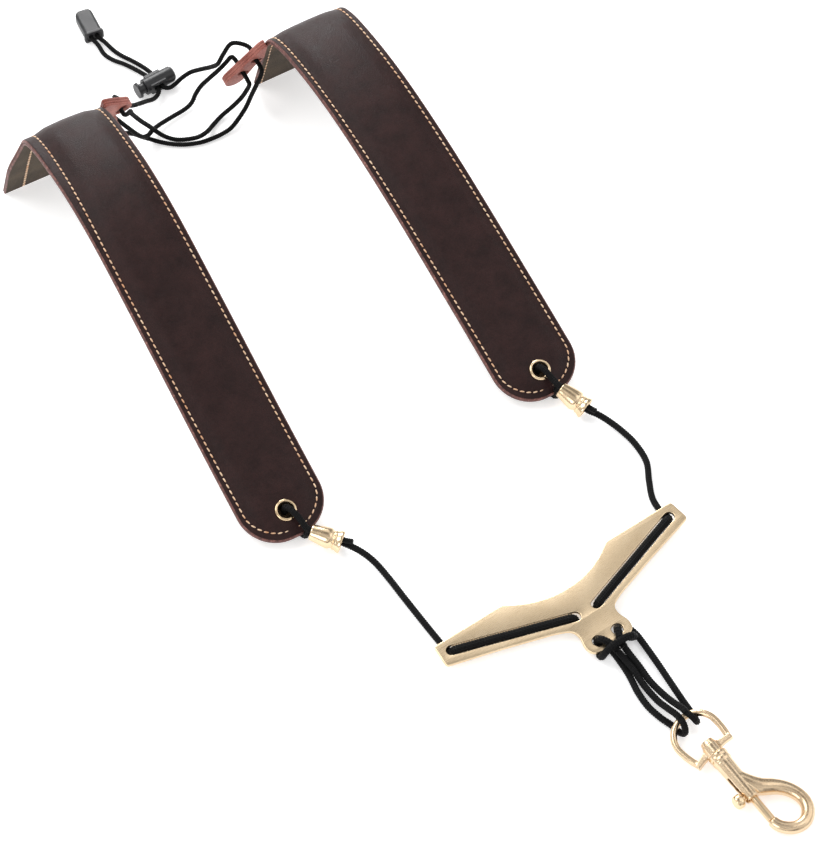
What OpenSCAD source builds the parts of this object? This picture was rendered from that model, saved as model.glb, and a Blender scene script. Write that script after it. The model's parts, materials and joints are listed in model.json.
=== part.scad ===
// Two-pad shoulder harness for a wind instrument, laid out on a table.
// Two padded leather arches, end bells, a V-shaped yoke plate, a snap hook on
// cord loops, and a thin cord with a cord lock that laces the backs together.
// Frame: +Z up, origin at the bottom centre, the snap hook points to -Y.

/* [Assembly] */
// which sub-part to draw
// smoothness of round parts
facets = 48; // [24:4:96]

/* [Shoulder pads] */
// width of a pad
pad_w = 45; // [35:1:60]
// leather of the lining, next to the shoulder
lining_t = 1.4; // [1:0.1:2.5]
// foam core under the cover
foam_t = 2.2; // [1:0.1:5]
// leather of the cover
cover_t = 1.6; // [1:0.1:2.5]
// distance from the pad's edge to the padded crown
crown_inset = 4.6; // [3:0.1:8]
// corner radius of the front end
tip_r = 20; // [10:0.5:22]
// distance from the front end to the eyelet
eyelet_back = 13.5; // [11:0.5:20]
// distance from the pad's edge to the stitch line
stitch_inset = 3.2; // [2.4:0.1:4]

/* [Back tabs] */
// thickness of a lacing tab
tab_t = 4.4; // [3:0.1:6]
// width of a lacing tab at its root
tab_w = 15; // [12:0.5:20]
// droop of the left tab
tab_droop_l = 31; // [0:1:60]
// droop of the right tab
tab_droop_r = 52; // [0:1:60]

/* [Eyelets and bells] */
// flange diameter of an eyelet
eyelet_d = 10.4; // [8:0.1:12]
// hole through an eyelet
eyelet_bore = 5.6; // [4:0.1:7]
// length of an end bell
bell_len = 16; // [12:0.5:22]
// mouth diameter of an end bell
bell_d = 11.2; // [9:0.1:14]

/* [Cords] */
// main cord diameter
cord_d = 3.3; // [2.5:0.1:4]
// back lacing cord diameter
lace_d = 2.5; // [2:0.1:3]

/* [Yoke plate] */
// half distance between the outer slot ends
yoke_half = 65; // [50:1:80]
// plate thickness
yoke_t = 2; // [1.5:0.1:3]
// width of the long slots
slot_w = 5.4; // [4.2:0.1:6]
// holes for the hitched cord
hole_d = 5.8; // [4.4:0.1:6.4]
// height of the plate's underside above the table
yoke_z = 3.7; // [3.5:0.1:6]

/* [Snap hook] */
// outer width of the swivel eye
eye_w = 25.6; // [16:0.2:30]
// round bar of the swivel eye
eye_bar = 3.4; // [2.4:0.1:3.6]
// turn of the eye about the shank
eye_turn = 18; // [0:1:30]
// shank diameter
shank_d = 8.9; // [6:0.1:10]
// sliding bolt diameter
bolt_d = 4; // [3:0.1:5]

/* [Cord lock] */
// barrel diameter
lock_d = 8.8; // [7:0.1:11]
// barrel length
lock_len = 18; // [14:0.5:22]
// plunger diameter
plunger_d = 5.8; // [4:0.1:7]

/* [Hidden] */

$fn = facets;
eps = 0.01;
// shift from the plate's own axes to the middle of the footprint
mid_x = 1.9;
mid_y = -98.3;

// pad poses: x, y of the ridge, turn about Z
pose_l = [-63.5, 336.5, -5.7];
pose_r = [80.5, 333, -4.2];
// inner face of each pad, y and z, from the front end over the arch to the cut end
keys_l = [[-242, 3.8], [-185, 24.2], [-123, 49], [-80, 64.6], [-50, 70.2], [-24, 69.6],
  [-9, 66.4], [-1, 61.4], [3.2, 53.5], [8.8, 39], [23.8, 0.3]];
keys_r = [[-242, 3.8], [-185, 23.4], [-123, 43.4], [-80, 53.6], [-50, 57.2], [-24, 56.6],
  [-10, 53.6], [-3, 48.8], [0.6, 41.6], [4.4, 30], [14.2, 0.3]];
leg_l = [8.8, 39, 21.2];
leg_r = [4.4, 30, 18.26];

function vadd(a, b) = [for (i = [0:len(a) - 1]) a[i] + b[i]];
function unit(v) = v / norm(v);
function cat(p0, p1, p2, p3, t) =
  0.5 * ((2 * p1) + (p2 - p0) * t + (2 * p0 - 5 * p1 + 4 * p2 - p3) * t * t
  + (3 * p1 - p0 - 3 * p2 + p3) * t * t * t);
// a smooth run through the key points, n steps between neighbours
function smooth(k, n) = let (m = len(k)) concat(
  [for (i = [0:m - 2]) for (j = [0:n - 1])
    cat(k[max(i - 1, 0)], k[i], k[i + 1], k[min(i + 2, m - 1)], j / n)], [k[m - 1]]);
function tangent(p, i) = unit(p[min(i + 1, len(p) - 1)] - p[max(i - 1, 0)]);
// points moved outward by d, square to the run
function shifted(p, d) = [for (i = [0:len(p) - 1])
  let (t = tangent(p, i)) [p[i][0] - t[1] * d, p[i][1] + t[0] * d]];
function part_of(p, a, b) = [for (i = [a:b]) p[i]];
function flip(p) = [for (i = [len(p) - 1:-1:0]) p[i]];

run_l = smooth(keys_l, 3);
run_r = smooth(keys_r, 3);
edge_t = lining_t + cover_t;
full_t = lining_t + foam_t + cover_t;

module place() { translate([mid_x, mid_y, 0]) children(); }
module at_pad(pose) { place() translate([pose[0], pose[1], 0]) rotate([0, 0, pose[2]]) children(); }

// a band of the arch between two offsets, w wide
module band(run, d0, d1, w) {
  rotate([90, 0, 90]) translate([0, 0, -w / 2]) linear_extrude(w)
    polygon(concat(shifted(run, d0), flip(shifted(run, d1))));
}
// plan outline of a pad, set in by s
module outline(s, back = 40) {
  w = pad_w - 2 * s;
  r = tip_r - s;
  translate([0, -242 + s]) union() {
    translate([-w / 2, r]) square([w, 242 + back - r]);
    translate([-w / 2 + r, 0]) square([w - 2 * r, r + 1]);
    translate([-w / 2 + r, r]) circle(r);
    translate([w / 2 - r, r]) circle(r);
  }
}
module pillar(s, back = 40) { translate([0, 0, -10]) linear_extrude(120) outline(s, back); }
// the tall solid that only holds the stitch line
module stitch_wall(w0) {
  translate([0, 0, -10]) linear_extrude(120) difference() {
    outline(stitch_inset - w0 / 2);
    outline(stitch_inset + w0 / 2);
  }
}
module eyelet_axis(run) {
  // the eyelet sits square to the surface at eyelet_back from the front end
  a = atan2(run[1][1] - run[0][1], run[1][0] - run[0][0]);
  translate([0, run[0][0] + eyelet_back, run[0][1] + eyelet_back * tan(a)])
    rotate([a, 0, 0]) children();
}
module eyelet_hole(run) { eyelet_axis(run) translate([0, 0, -3]) cylinder(d = 7.5, h = 14); }
module pad_lining(run, leg, side, root) {
  difference() {
    intersection() { band(run, 0, lining_t, pad_w); pillar(0); }
    eyelet_hole(run);
    tab_frame(leg) scale([side, 1, 1]) translate([pad_w / 2 - 9, 0.3, 5.5])
      cube([10, lining_t, root + 1]);
  }
}
// the foam, or with a deeper sink the pocket that it lies in
module pad_foam(run, sink = 0) {
  n = len(run);
  intersection() {
    band(part_of(run, 1, n - 2), lining_t - sink, lining_t + foam_t, pad_w - 2 * (crown_inset + 1.6));
    translate([0, 26, 0]) pillar(crown_inset + 1.6);
  }
}
module pad_cover(run) {
  n = len(run);
  difference() {
    union() {
      intersection() { band(run, lining_t, edge_t, pad_w); pillar(0); }
      intersection() {
        band(run, lining_t, full_t, pad_w - 2 * crown_inset);
        pillar(crown_inset);
      }
    }
    pad_foam(run, 0.4);
    eyelet_hole(run);
    intersection() {
      band(run, edge_t - 0.4, edge_t + 1, pad_w);
      stitch_wall(0.9);
    }
  }
}
// a raised seam of thread along both sides and round the front end
module pad_thread(run) {
  intersection() {
    band(run, edge_t - 0.4, edge_t + 0.2, pad_w);
    stitch_wall(0.9);
  }
}
module eyelet(run) {
  eyelet_axis(run) {
    difference() {
      union() {
        translate([0, 0, full_t]) cylinder(d1 = eyelet_d, d2 = 7.8, h = 0.9);
        translate([0, 0, -0.7]) cylinder(d = 7.4, h = full_t + 0.8);
      }
      translate([0, 0, -2]) cylinder(d = eyelet_bore, h = 12);
    }
  }
}
module eyelet_washer(run) {
  eyelet_axis(run) translate([0, 0, -0.7]) difference() {
    cylinder(d = eyelet_d, h = 0.65);
    translate([0, 0, -1]) cylinder(d = 7.5, h = 3);
  }
}
// axes on the back leg: x across, y outward from the inner face, z up the slope
module tab_frame(leg) {
  translate([0, leg[0], leg[1]]) rotate([leg[2], 0, 0]) children();
}
// the far tab reaches out with two slots; the near one is short, with a lobe below
module slot_hole() {
  translate([-1.7, -2.2]) square([3.4, 4.4]);
  translate([0, 2.2]) circle(1.7);
  translate([0, -2.2]) circle(1.7);
}
function tab_root(top) = [pad_w / 2, top - tab_w / 2];
module tab_plan(droop, top, l, r, ks, lobe) {
  c = [cos(droop), -sin(droop)];
  e = [sin(droop), cos(droop)];
  root = tab_root(top);
  tip = root + l * c;
  difference() {
    union() {
      polygon([[pad_w / 2 + 0.05, top], [pad_w / 2 + 0.05, top - tab_w],
        tip - r * e, tip + r * e]);
      translate(tip) circle(r);
      translate([pad_w / 2 + 0.05, lobe ? -4.4 : top - tab_w]) square([2.6, lobe ? 26 : 6]);
      if (lobe) translate([pad_w / 2 + 0.05, -4.4]) square([4.2, 12.8]);
      if (lobe) intersection() {
        translate([pad_w / 2 + 4.2, 2]) circle(6.4);
        translate([pad_w / 2 + 0.05, -10]) square(24);
      }
    }
    for (k = ks) translate(root + k * c) rotate(-droop) slot_hole();
    if (lobe) translate(lobe_at) slot_hole();
  }
}
lobe_at = [pad_w / 2 + 5.2, 2];
top_l = 30;
top_r = 19;
arm_l = 13.4;
arm_r = 25;
// height of each tab's tongue in its pocket in the lining
root_l = 12;
root_r = 7;
module back_tab(leg, side, droop, top, l, r, ks, lobe, root) {
  tab_frame(leg) scale([side, 1, 1]) {
    translate([0, edge_t / 2 + tab_t / 2, 0]) rotate([90, 0, 0]) linear_extrude(tab_t)
      tab_plan(droop, top, l, r, ks, lobe);
    translate([pad_w / 2 - 8.9, 0.35, 6]) cube([9.4, lining_t - 0.4, root]);
  }
}

module tab_l() { back_tab(leg_l, 1, tab_droop_l, top_l, arm_l, 5.6, [12.6], true, root_l); }
module tab_r() { back_tab(leg_r, -1, tab_droop_r, top_r, arm_r, 6.4, [8, 19], false, root_r); }

// swept tube: rings of 8 along a run of points, flat ends
function ring_at(p, i, r, n) = let (
    t = unit(p[min(i + 1, len(p) - 1)] - p[max(i - 1, 0)]),
    h = abs(t[2]) > 0.8 ? [1, 0, 0] : [0, 0, 1],
    u = unit(cross(t, h)), v = cross(u, t))
  [for (k = [0:n - 1]) p[i] + r * (cos(360 * k / n) * u + sin(360 * k / n) * v)];
module tube(p, d, n = 8) {
  m = len(p);
  pts = [for (i = [0:m - 1]) each ring_at(p, i, d / 2, n)];
  polyhedron(pts, concat(
    [[for (k = [n - 1:-1:0]) k]],
    [for (i = [0:m - 2]) for (k = [0:n - 1]) let (b = (k + 1) % n)
      [i * n + k, i * n + b, (i + 1) * n + b, (i + 1) * n + k]],
    [[for (k = [0:n - 1]) (m - 1) * n + k]]), convexity = 8);
}
module cord(keys, d, n = 2) { place() tube(smooth(keys, n), d); }

// bells: nose and mouth centres
nose_l = [-82.2, 91.9, 8.6];
mouth_l = [-72.6, 79.8, 5.9];
nose_r = [66.1, 88.9, 10.2];
mouth_r = [71.1, 74.6, 5.9];
module on_axis(a, b) {
  v = unit(b - a);
  translate(a) rotate([0, acos(v[2]), atan2(v[1], v[0])]) children();
}
module bell(nose, mouth) {
  r = bell_d / 2;
  L = bell_len;
  place() on_axis(nose, mouth) rotate_extrude() polygon([
    [3.7, 0], [4.1, 0.35], [4.5, 2.5], [4.95, 6], [5.05, 8.6], [4.75, 10.4],
    [4.3, 11.2], [4.3, 11.9], [4.75, 12.3], [4.9, 13.3], [r, L - 0.5], [r, L],
    [r - 0.7, L], [4.1, 12.6], [4.1, 4.4], [3.55, 2.6], [3.55, 0.2]]);
}
// points along a bell's axis: s from the nose, with a lift square to the axis
function on_bell(a, b, s, up = 0) = let (v = unit(b - a),
    w = unit([0, 0, 1] - v[2] * v)) a + s * v + up * w;
module knot(nose, mouth) {
  // a tight overhand knot, drawn as one rounded body
  place() on_axis(on_bell(nose, mouth, 5.2), mouth) rotate_extrude()
    polygon([[0, 0], [2, 0.1], [3.3, 1.1], [3.8, 2.6], [3.8, 4.2], [3.3, 5.7], [2, 6.7],
      [0, 6.8]]);
}
// the loop through the eyelet: out of the bell above the pad, back underneath
function loop_keys(nose, mouth, e) = let (
    q = unit([nose[0] - e[0], nose[1] - e[1], 0]))
  [on_bell(nose, mouth, 5.2, 1.7), on_bell(nose, mouth, 1.5, 1.72), on_bell(nose, mouth, -2.2, 1.9),
   e + 9.2 * q + [0, 0, 0.1], e + 4.2 * q + [0, 0, 2.2], e + 0.6 * q + [0, 0, 1.2],
   e - 0.3 * q - [0, 0, 2.5], e - 0.1 * q - [0, 0, 6], e + 2.6 * q - [0, 0, 8.9],
   e + 8 * q - [0, 0, e[2] - 1.75], e + 12.6 * q - [0, 0, e[2] - 1.85],
   on_bell(nose, mouth, -1.6, -1.95), on_bell(nose, mouth, 1.5, -1.72),
   on_bell(nose, mouth, 5.2, -1.7)];
eye_l = [-86.2, 107.8, 13.6];
eye_r = [63.6, 104.1, 13.4];
module end_loop(nose, mouth, e) { cord(loop_keys(nose, mouth, e), cord_d, 1); }

// main cords: knot, bell mouth, then to the underside of the plate's outer slot end
main_l = [on_bell(nose_l, mouth_l, 12), on_bell(nose_l, mouth_l, 17), [-67.4, 71.5, 4],
  [-64.9, 63, 2.6], [-64.5, 52, 2], [-64.9, 40, 1.9], [-65.2, 30, 1.9], [-65.5, 18, 1.9],
  [-65.6, 8, 1.75], [-65.6, 3.8, 1.75]];
main_r = [on_bell(nose_r, mouth_r, 12), on_bell(nose_r, mouth_r, 17), [74.8, 69, 4],
  [77.6, 62.5, 2.6], [79.4, 54, 2], [79.8, 45, 1.9], [77.8, 34, 1.9], [72, 24.5, 1.9],
  [67.2, 16, 1.8], [65.6, 9.4, 1.75], [65.6, 3.8, 1.75]];
// up through the outer slot end, along the front, down through the inner end
top_z = yoke_z + yoke_t - 0.5;
slot_keys = [[-65.6, 3.6, 1.75], [-65.4, 1.5, 1.9], [-64.9, 0.1, 3.4], [-63.6, -0.6, top_z - 0.3],
  [-61.4, -1.4, top_z], [-56, -3.1, top_z], [-46, -6.3, top_z], [-36, -9.6, top_z],
  [-26, -12.8, top_z], [-16, -16.1, top_z], [-9.4, -18.3, top_z], [-7.4, -18.9, 4.2],
  [-6.6, -19.5, 2.5], [-6.4, -21.4, 1.75]];
// behind the plate, then the outer strand of each drop loop to the eye
drop_l = [[-6.4, -21.6, 1.75], [-5.2, -28.6, 1.75], [-3, -34.6, 1.75], [-2.4, -40, 1.8],
  [-2.6, -46.4, 2], [-3.9, -57, 2.2], [-6.5, -68, 2.2], [-7.3, -77, 2.2], [-6.2, -85, 2.1],
  [-4.6, -90.5, 1.9], [-4.1, -93.7, 1.75]];
drop_r = [[6.4, -21.6, 1.75], [8.6, -29, 1.75], [11.4, -35.6, 1.75], [12.6, -41.6, 1.8],
  [12.2, -48, 2], [10.8, -60, 2.4], [9, -72, 3], [7.3, -83, 3.8], [6.3, -90.5, 4.4],
  [6.2, -93.4, 4.5]];
// round the eye's bow, from under it to over it: start x, end x, centre, half width, half height
function wrap_keys(x0, x1, y, z, ry, rz) = [for (a = [-90:20:90])
  [x0 + (a + 90) / 180 * (x1 - x0), y - ry * cos(a), z + rz * sin(a)]];
wrap_l = wrap_keys(-4, -2.6, -94.3, 6.1, 4.8, 4.4);
wrap_r = wrap_keys(6.1, 0.9, -94, 8.5, 4.6, 4);
ret_l = [[-2.6, -93.5, 10.4], [-2.6, -90.5, 9.9], [-2.7, -84, 7], [-2.6, -77, 4.2],
  [-2.3, -67, 3.4], [-1.6, -58, 4.8], [-1.6, -52, 5.2], [-1.9, -46.6, 6.1]];
ret_r = [[0.9, -93.2, 12.5], [0.9, -91, 12.1], [1.1, -84, 8.2], [1.3, -77, 5.2],
  [1.3, -67, 3.6], [1.9, -58, 4.2], [1.8, -52, 5.3], [1.9, -46.6, 6.1]];
hole = [5.7, -36];
// under the crossbar, up over the tab's edge, down its hole, round the back to the bar
function hitch_side(s) = [[-1.9 * s, -46.3, 6.2], [-2.2 * s, -43.4, 6.9],
  [-3.2 * s, -40.6, 7.6], [-5 * s, -37.2, 7.6], [-5.9 * s, -35.6, 5.2],
  [-6.1 * s, -36, 3], [-6.9 * s, -38.6, 1.8], [-8.8 * s, -41.6, 2.6],
  [-9.4 * s, -43.9, 5.4], [-8.2 * s, -44.6, 8.6], [-5.6 * s, -44.4, 9.9],
  [-2.6 * s, -44.2, 10.2]];

module yoke_outline() {
  h = yoke_half;
  for (s = [-1, 1]) scale([s, 1]) polygon(concat(
    [[0, -4.2]], [for (a = [4:4:32]) [56.1 * sin(a), 57.8 - 62 * cos(a)]],
    [[h - 33.4, 6.4], [h + 4.6, 6.4], [h + 5.9, 5.8], [h + 7, -4.6], [h + 6.2, -5.9],
     [h - 20, -13.2], [h - 45, -21], [14.4, -23.4], [12.2, -25.4], [11.6, -28.4],
     [11.9, -31], [12.9, -33.8], [13.1, -36.6], [12.2, -39.4], [10.2, -41.1],
     [7.6, -41.7], [3.2, -41.7], [0, -41.9]]));
}
module long_slot() {
  a = [-yoke_half, 0];
  b = [-6.3, -19];
  v = b - a;
  translate(a) rotate(atan2(v[1], v[0])) {
    translate([0, -slot_w / 2]) square([norm(v), slot_w]);
    circle(d = slot_w);
    translate([norm(v), 0]) circle(d = slot_w);
  }
}
module yoke_plate() {
  place() translate([0, 0, yoke_z]) linear_extrude(yoke_t) difference() {
    yoke_outline();
    for (s = [-1, 1]) scale([s, 1]) {
      long_slot();
      translate([-hole[0], hole[1]]) circle(d = hole_d);
    }
  }
}

// snap hook: it hangs from the eye's bow, the shank runs to -Y and dips a little
// so that the hook lies on the table; the eye leans a little on its rivet
bow = [1.1, -92.9, 7.4];
bow_r = eye_w / 2 - eye_bar / 2;
eye_len = 11.8;
eye_lean = 6;
dip = 3.2;
module at_snap() {
  place() translate(bow) rotate([dip, 0, 0]) translate([0, -bow_r - eye_len, 0]) children();
}
module along(y0, y1, d, d2 = 0) {
  translate([0, y0, 0]) rotate([90, 0, 0]) cylinder(d1 = d, d2 = d2 == 0 ? d : d2, h = y0 - y1);
}
module snap_eye() {
  foot = 9.5;
  // each side bends in from the bow to the foot
  drop = eye_len - 0.6;
  side_r = (drop * drop / (bow_r - foot) + bow_r - foot) / 2;
  side_a = asin(drop / side_r);
  at_snap() rotate([0, -eye_turn, 0]) difference() {
    union() {
      rotate([0, 0, eye_lean]) {
        translate([0, eye_len, 0]) rotate_extrude(angle = 180) translate([bow_r, 0])
          circle(d = eye_bar);
        for (s = [0, 1]) mirror([s, 0, 0]) translate([bow_r - side_r, eye_len, 0])
          rotate([0, 0, -side_a]) rotate_extrude(angle = side_a + 0.2) translate([side_r, 0])
            circle(d = eye_bar);
        translate([0, 0, -1.9]) linear_extrude(3.8)
          polygon([[-11, -0.9], [-11, 1.6], [-4.2, 3.4], [4.2, 3.4], [11, 1.6], [11, -0.9], [6.5, -0.3],
            [-6.5, -0.3]]);
      }
      along(4, -1.2, 8.6);
    }
    along(9, -4, 3.64);
  }
}
module snap_post() {
  at_snap() {
    along(6.6, 4.05, 6.6, 7.8);
    along(4.3, -5.2, 3.6);
  }
}
// centre line of the hook from the shank to the tip: x, y, diameter
hook = [[0.8, -17, 8], [3.4, -22, 8.6], [6.9, -26, 8.4], [11.1, -28.7, 7.8], [14.8, -32.1, 7.2],
  [17.4, -36.4, 6.8], [18.6, -41, 6.5], [18, -45.2, 6.5], [15.6, -48.8, 6.4], [12.3, -50.9, 6.3],
  [8.8, -51.3, 6.2], [5.2, -50.2, 6.1], [2.1, -47.6, 5.9], [0.4, -44.8, 5.6], [0, -42.2, 5.4]];
module hook_bar() {
  p = smooth(hook, 2);
  m = len(p);
  n = 20;
  q = [for (k = p) [k[0], k[1], 0]];
  pts = [for (i = [0:m - 1]) each ring_at(q, i, p[i][2] / 2, n)];
  polyhedron(pts, concat(
    [[for (k = [n - 1:-1:0]) k]],
    [for (i = [0:m - 2]) for (k = [0:n - 1]) let (b = (k + 1) % n)
      [i * n + k, i * n + b, (i + 1) * n + b, (i + 1) * n + k]],
    [[for (k = [0:n - 1]) (m - 1) * n + k]]), convexity = 8);
}
module snap_body() {
  at_snap() difference() {
    union() {
      along(-1.3, -3.4, 10);
      along(-3.3, -4.4, 9.2);
      along(-4.3, -6, 9.8);
      along(-5.9, -28.6, shank_d, 7.6);
      hook_bar();
    }
    along(-7.5, -36, bolt_d + 0.1);
    translate([-8, -29.6, -1.35]) cube([8, 15.4, 2.7]);
    along(-1, -5.25, 3.6);
  }
}
module snap_bolt() { at_snap() along(-22, -41.8, bolt_d); }
module snap_stud() {
  at_snap() translate([-1.9, -26, 0]) rotate([0, -90, 0]) {
    cylinder(d = 2.5, h = 3);
    translate([0, 0, 2.8]) cylinder(d1 = 5.6, d2 = 7, h = 2.2);
    translate([0, 0, 4.95]) cylinder(d1 = 7, d2 = 5.4, h = 2.2);
  }
}
module coil(turns, r, w, h) {
  // a compression spring as a stack of tilted rings
  for (i = [0:turns]) translate([0, 0, w / 2 + i * (h - w) / turns])
    rotate_extrude($fn = 24) translate([r, 0]) circle(d = w, $fn = 8);
  difference() {
    translate([0, 0, w / 2]) cylinder(r = r + 0.1, h = h - w, $fn = 24);
    translate([0, 0, -1]) cylinder(r = r - 0.1, h = h + 2, $fn = 24);
  }
}
module snap_spring() { at_snap() translate([0, -7.55, 0]) rotate([90, 0, 0]) coil(8, 1.5, 0.45, 14.4); }

// cord lock: barrel along X, cords through it along Y
lock_c = [17.2, 379, 4.6];
hole_x = -2;
module at_lock() { place() translate(lock_c) children(); }
module slot_y(x0, w, h, l) {
  for (s = [-1, 1]) translate([x0 + s * (w - h) / 2, l / 2, 0]) rotate([90, 0, 0])
    cylinder(d = h, h = l);
  translate([x0 - (w - h) / 2, -l / 2, -h / 2]) cube([w - h, l, h]);
}
module lock_barrel() {
  at_lock() difference() {
    union() {
      translate([-lock_len / 2, 0, 0]) rotate([0, 90, 0]) cylinder(d = lock_d, h = lock_len - 1.2);
      translate([lock_len / 2 - 1.2, 0, 0]) rotate([0, 90, 0])
        cylinder(d1 = lock_d, d2 = lock_d - 2, h = 1.2);
      translate([hole_x - 4.6, -lock_d / 2, -3.4]) cube([9.2, lock_d, 6.8]);
    }
    translate([-lock_len / 2 - 1, 0, 0]) rotate([0, 90, 0])
      cylinder(d = plunger_d + 0.1, h = lock_len - 1);
    slot_y(hole_x, 6, 2.9, 20);
  }
}
module lock_button() {
  at_lock() difference() {
    union() {
      translate([-lock_len / 2 - 4.6, 0, 0]) rotate([0, 90, 0])
        cylinder(d1 = lock_d - 0.6, d2 = lock_d, h = 1.6);
      translate([-lock_len / 2 - 3.1, 0, 0]) rotate([0, 90, 0]) cylinder(d = plunger_d, h = 15.1);
    }
    slot_y(hole_x - 1.3, 8.6, 2.9, 20);
  }
}
module lock_spring() {
  at_lock() translate([lock_len / 2 - 5.95, 0, 0]) rotate([0, 90, 0]) coil(4, 2.2, 0.5, 3.9);
}
// cord end: flat pull with a flanged mouth, and the cap that closes it
end_c = [6.6, 425.8, 3.6];
end_turn = -11;
module at_end() { place() translate(end_c) rotate([0, 0, end_turn]) children(); }
module slab(w, h, y0, y1, r) {
  translate([0, y1, 0]) rotate([90, 0, 0]) linear_extrude(y1 - y0) union() {
    square([w - 2 * r, h], center = true);
    square([w, h - 2 * r], center = true);
    for (a = [-1, 1]) for (b = [-1, 1]) translate([a * (w / 2 - r), b * (h / 2 - r)]) circle(r);
  }
}
module cord_end_shell() {
  at_end() difference() {
    union() {
      slab(10.8, 7, 0, 1.6, 1.6);
      intersection() {
        slab(9.8, 6.4, 1.5, 18, 1.8);
        translate([0, 0, -5]) linear_extrude(10) union() {
          translate([-4.9, 0]) square([9.8, 14.6]);
          translate([-1.5, 14]) square([3, 4]);
          translate([-1.5, 14.6]) circle(3.4);
          translate([1.5, 14.6]) circle(3.4);
        }
      }
    }
    slab(7.8, 4.2, -1, 13, 1);
  }
}
module cord_end_cap() {
  at_end() difference() {
    slab(7.7, 4.1, 0.4, 8, 1);
    for (s = [-1, 1]) translate([s * 1.7, 9, 0]) rotate([90, 0, 0]) cylinder(d = lace_d + 0.1, h = 12);
  }
}
function end_pt(x, y, z = 0) = [end_c[0] + x * cos(end_turn) - y * sin(end_turn),
  end_c[1] + x * sin(end_turn) + y * cos(end_turn), end_c[2] + z];

// slot centres of the lacing tabs: pose, leg, side, droop, distance along, out
function tab_pt(pose, leg, side, at, out) = let (
    x = side * at[0], zz = at[1],
    y1 = leg[0] + out * cos(leg[2]) - zz * sin(leg[2]),
    z1 = leg[1] + out * sin(leg[2]) + zz * cos(leg[2]))
  [pose[0] + x * cos(pose[2]) - y1 * sin(pose[2]),
   pose[1] + x * sin(pose[2]) + y1 * cos(pose[2]), z1];
function on_arm(top, droop, k) = tab_root(top) + k * [cos(droop), -sin(droop)];
function tl(k, out) = tab_pt(pose_l, leg_l, 1, on_arm(top_l, tab_droop_l, k), out);
function tr(k, out) = tab_pt(pose_r, leg_r, -1, on_arm(top_r, tab_droop_r, k), out);
function lobe(out) = tab_pt(pose_l, leg_l, 1, lobe_at, out);
mid_t = edge_t / 2;

tail_l = [end_pt(-1.7, 7), end_pt(-1.7, -0.6), [5.4, 420.3, 2.4], [4.8, 413.7, 1.8],
  [6.5, 407.5, 1.6], [9.7, 401.7, 1.6], [12, 396, 1.8], [13.2, 389.6, 3.2],
  [13.7, 384.8, 4.5], [13.7, 379, 4.6], [13.7, 373.6, 4.5], [11.6, 371, 4.4],
  [7.2, 368.4, 6], [0.7, 364.7, 12], [-8, 357.9, 22], [-16.5, 351.1, 33],
  [-22.5, 348.6, 43], [-27.2, 346.6, 51], tl(12.6, 5.6), tl(12.6, mid_t)];
tail_r = [end_pt(1.7, 7), end_pt(1.7, -0.6), [9.6, 420, 2.2], [10.4, 413.7, 1.6],
  [11.8, 407.7, 1.6], [14.4, 401.3, 1.6], [16.4, 394.5, 2], [16.9, 389.4, 3.2],
  [16.7, 384.8, 4.5], [16.7, 379, 4.6], [16.7, 373.6, 4.5], [19.6, 371.9, 3.6],
  [24, 373, 2.8], [28.3, 373.9, 3.4], [32.8, 371.9, 7], [35.6, 366, 13],
  [38.2, 358.7, 20], [37.9, 350.9, 30], [41.5, 350.4, 36], [47.5, 351, 39.6],
  tr(8, 8.5), tr(8, mid_t)];
lace_out = [tl(12.6, mid_t), tl(12.6, -3.6), [-27, 334.4, 49.6], [-22.5, 340, 43],
  [-19.6, 344, 35], [-13.1, 347.2, 22], [-7.3, 348.8, 12], [-3.7, 348.3, 6],
  [-0.6, 345.6, 2.6], [3.3, 341.4, 1.5], [8.2, 338, 1.6], [13.2, 334.4, 3.6],
  [19, 334.9, 3.4], [25, 338.3, 1.6], [32.1, 340.7, 2], [39, 341.1, 4],
  [43.7, 339.6, 9], [46, 337.4, 15.5], [46.8, 335.2, 22], tr(19, -5), tr(19, mid_t)];
lace_in = [lobe(mid_t), lobe(-5), [-34, 337.6, 36.4], [-27, 343, 26], [-18.4, 346.9, 15.6],
  [-13, 348.2, 8.4], [-8.1, 348.4, 3], [-4.4, 344.9, 1.5], [0.3, 339.8, 1.4],
  [5.7, 335.6, 1.4], [12.9, 332.2, 1.4], [19.3, 330.9, 1.4], [25.2, 330.4, 1.5],
  [31.2, 330.7, 2], [37.6, 332.5, 4], [42.6, 333, 9], [45.9, 332.6, 16],
  [48.8, 331, 25], [51.6, 330.6, 31], tr(8, -5.5), tr(8, mid_t)];
lace_dia = [tr(19, mid_t), tr(19, 6.5), [46.2, 350.4, 30.2], [42.6, 350.6, 28],
  [38.6, 351.6, 24], [35.4, 354.6, 18], [30.5, 357.5, 11], [27.2, 358.2, 6],
  [23.8, 356.9, 3], [18.7, 355.8, 2], [10, 355.1, 2.2], [1.8, 353.9, 3],
  [-4, 351.8, 4.4], [-10.4, 347, 8.5], [-17, 342.7, 17], [-24, 345, 28], [-31, 350.4, 39],
  lobe(8), lobe(mid_t)];

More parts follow.
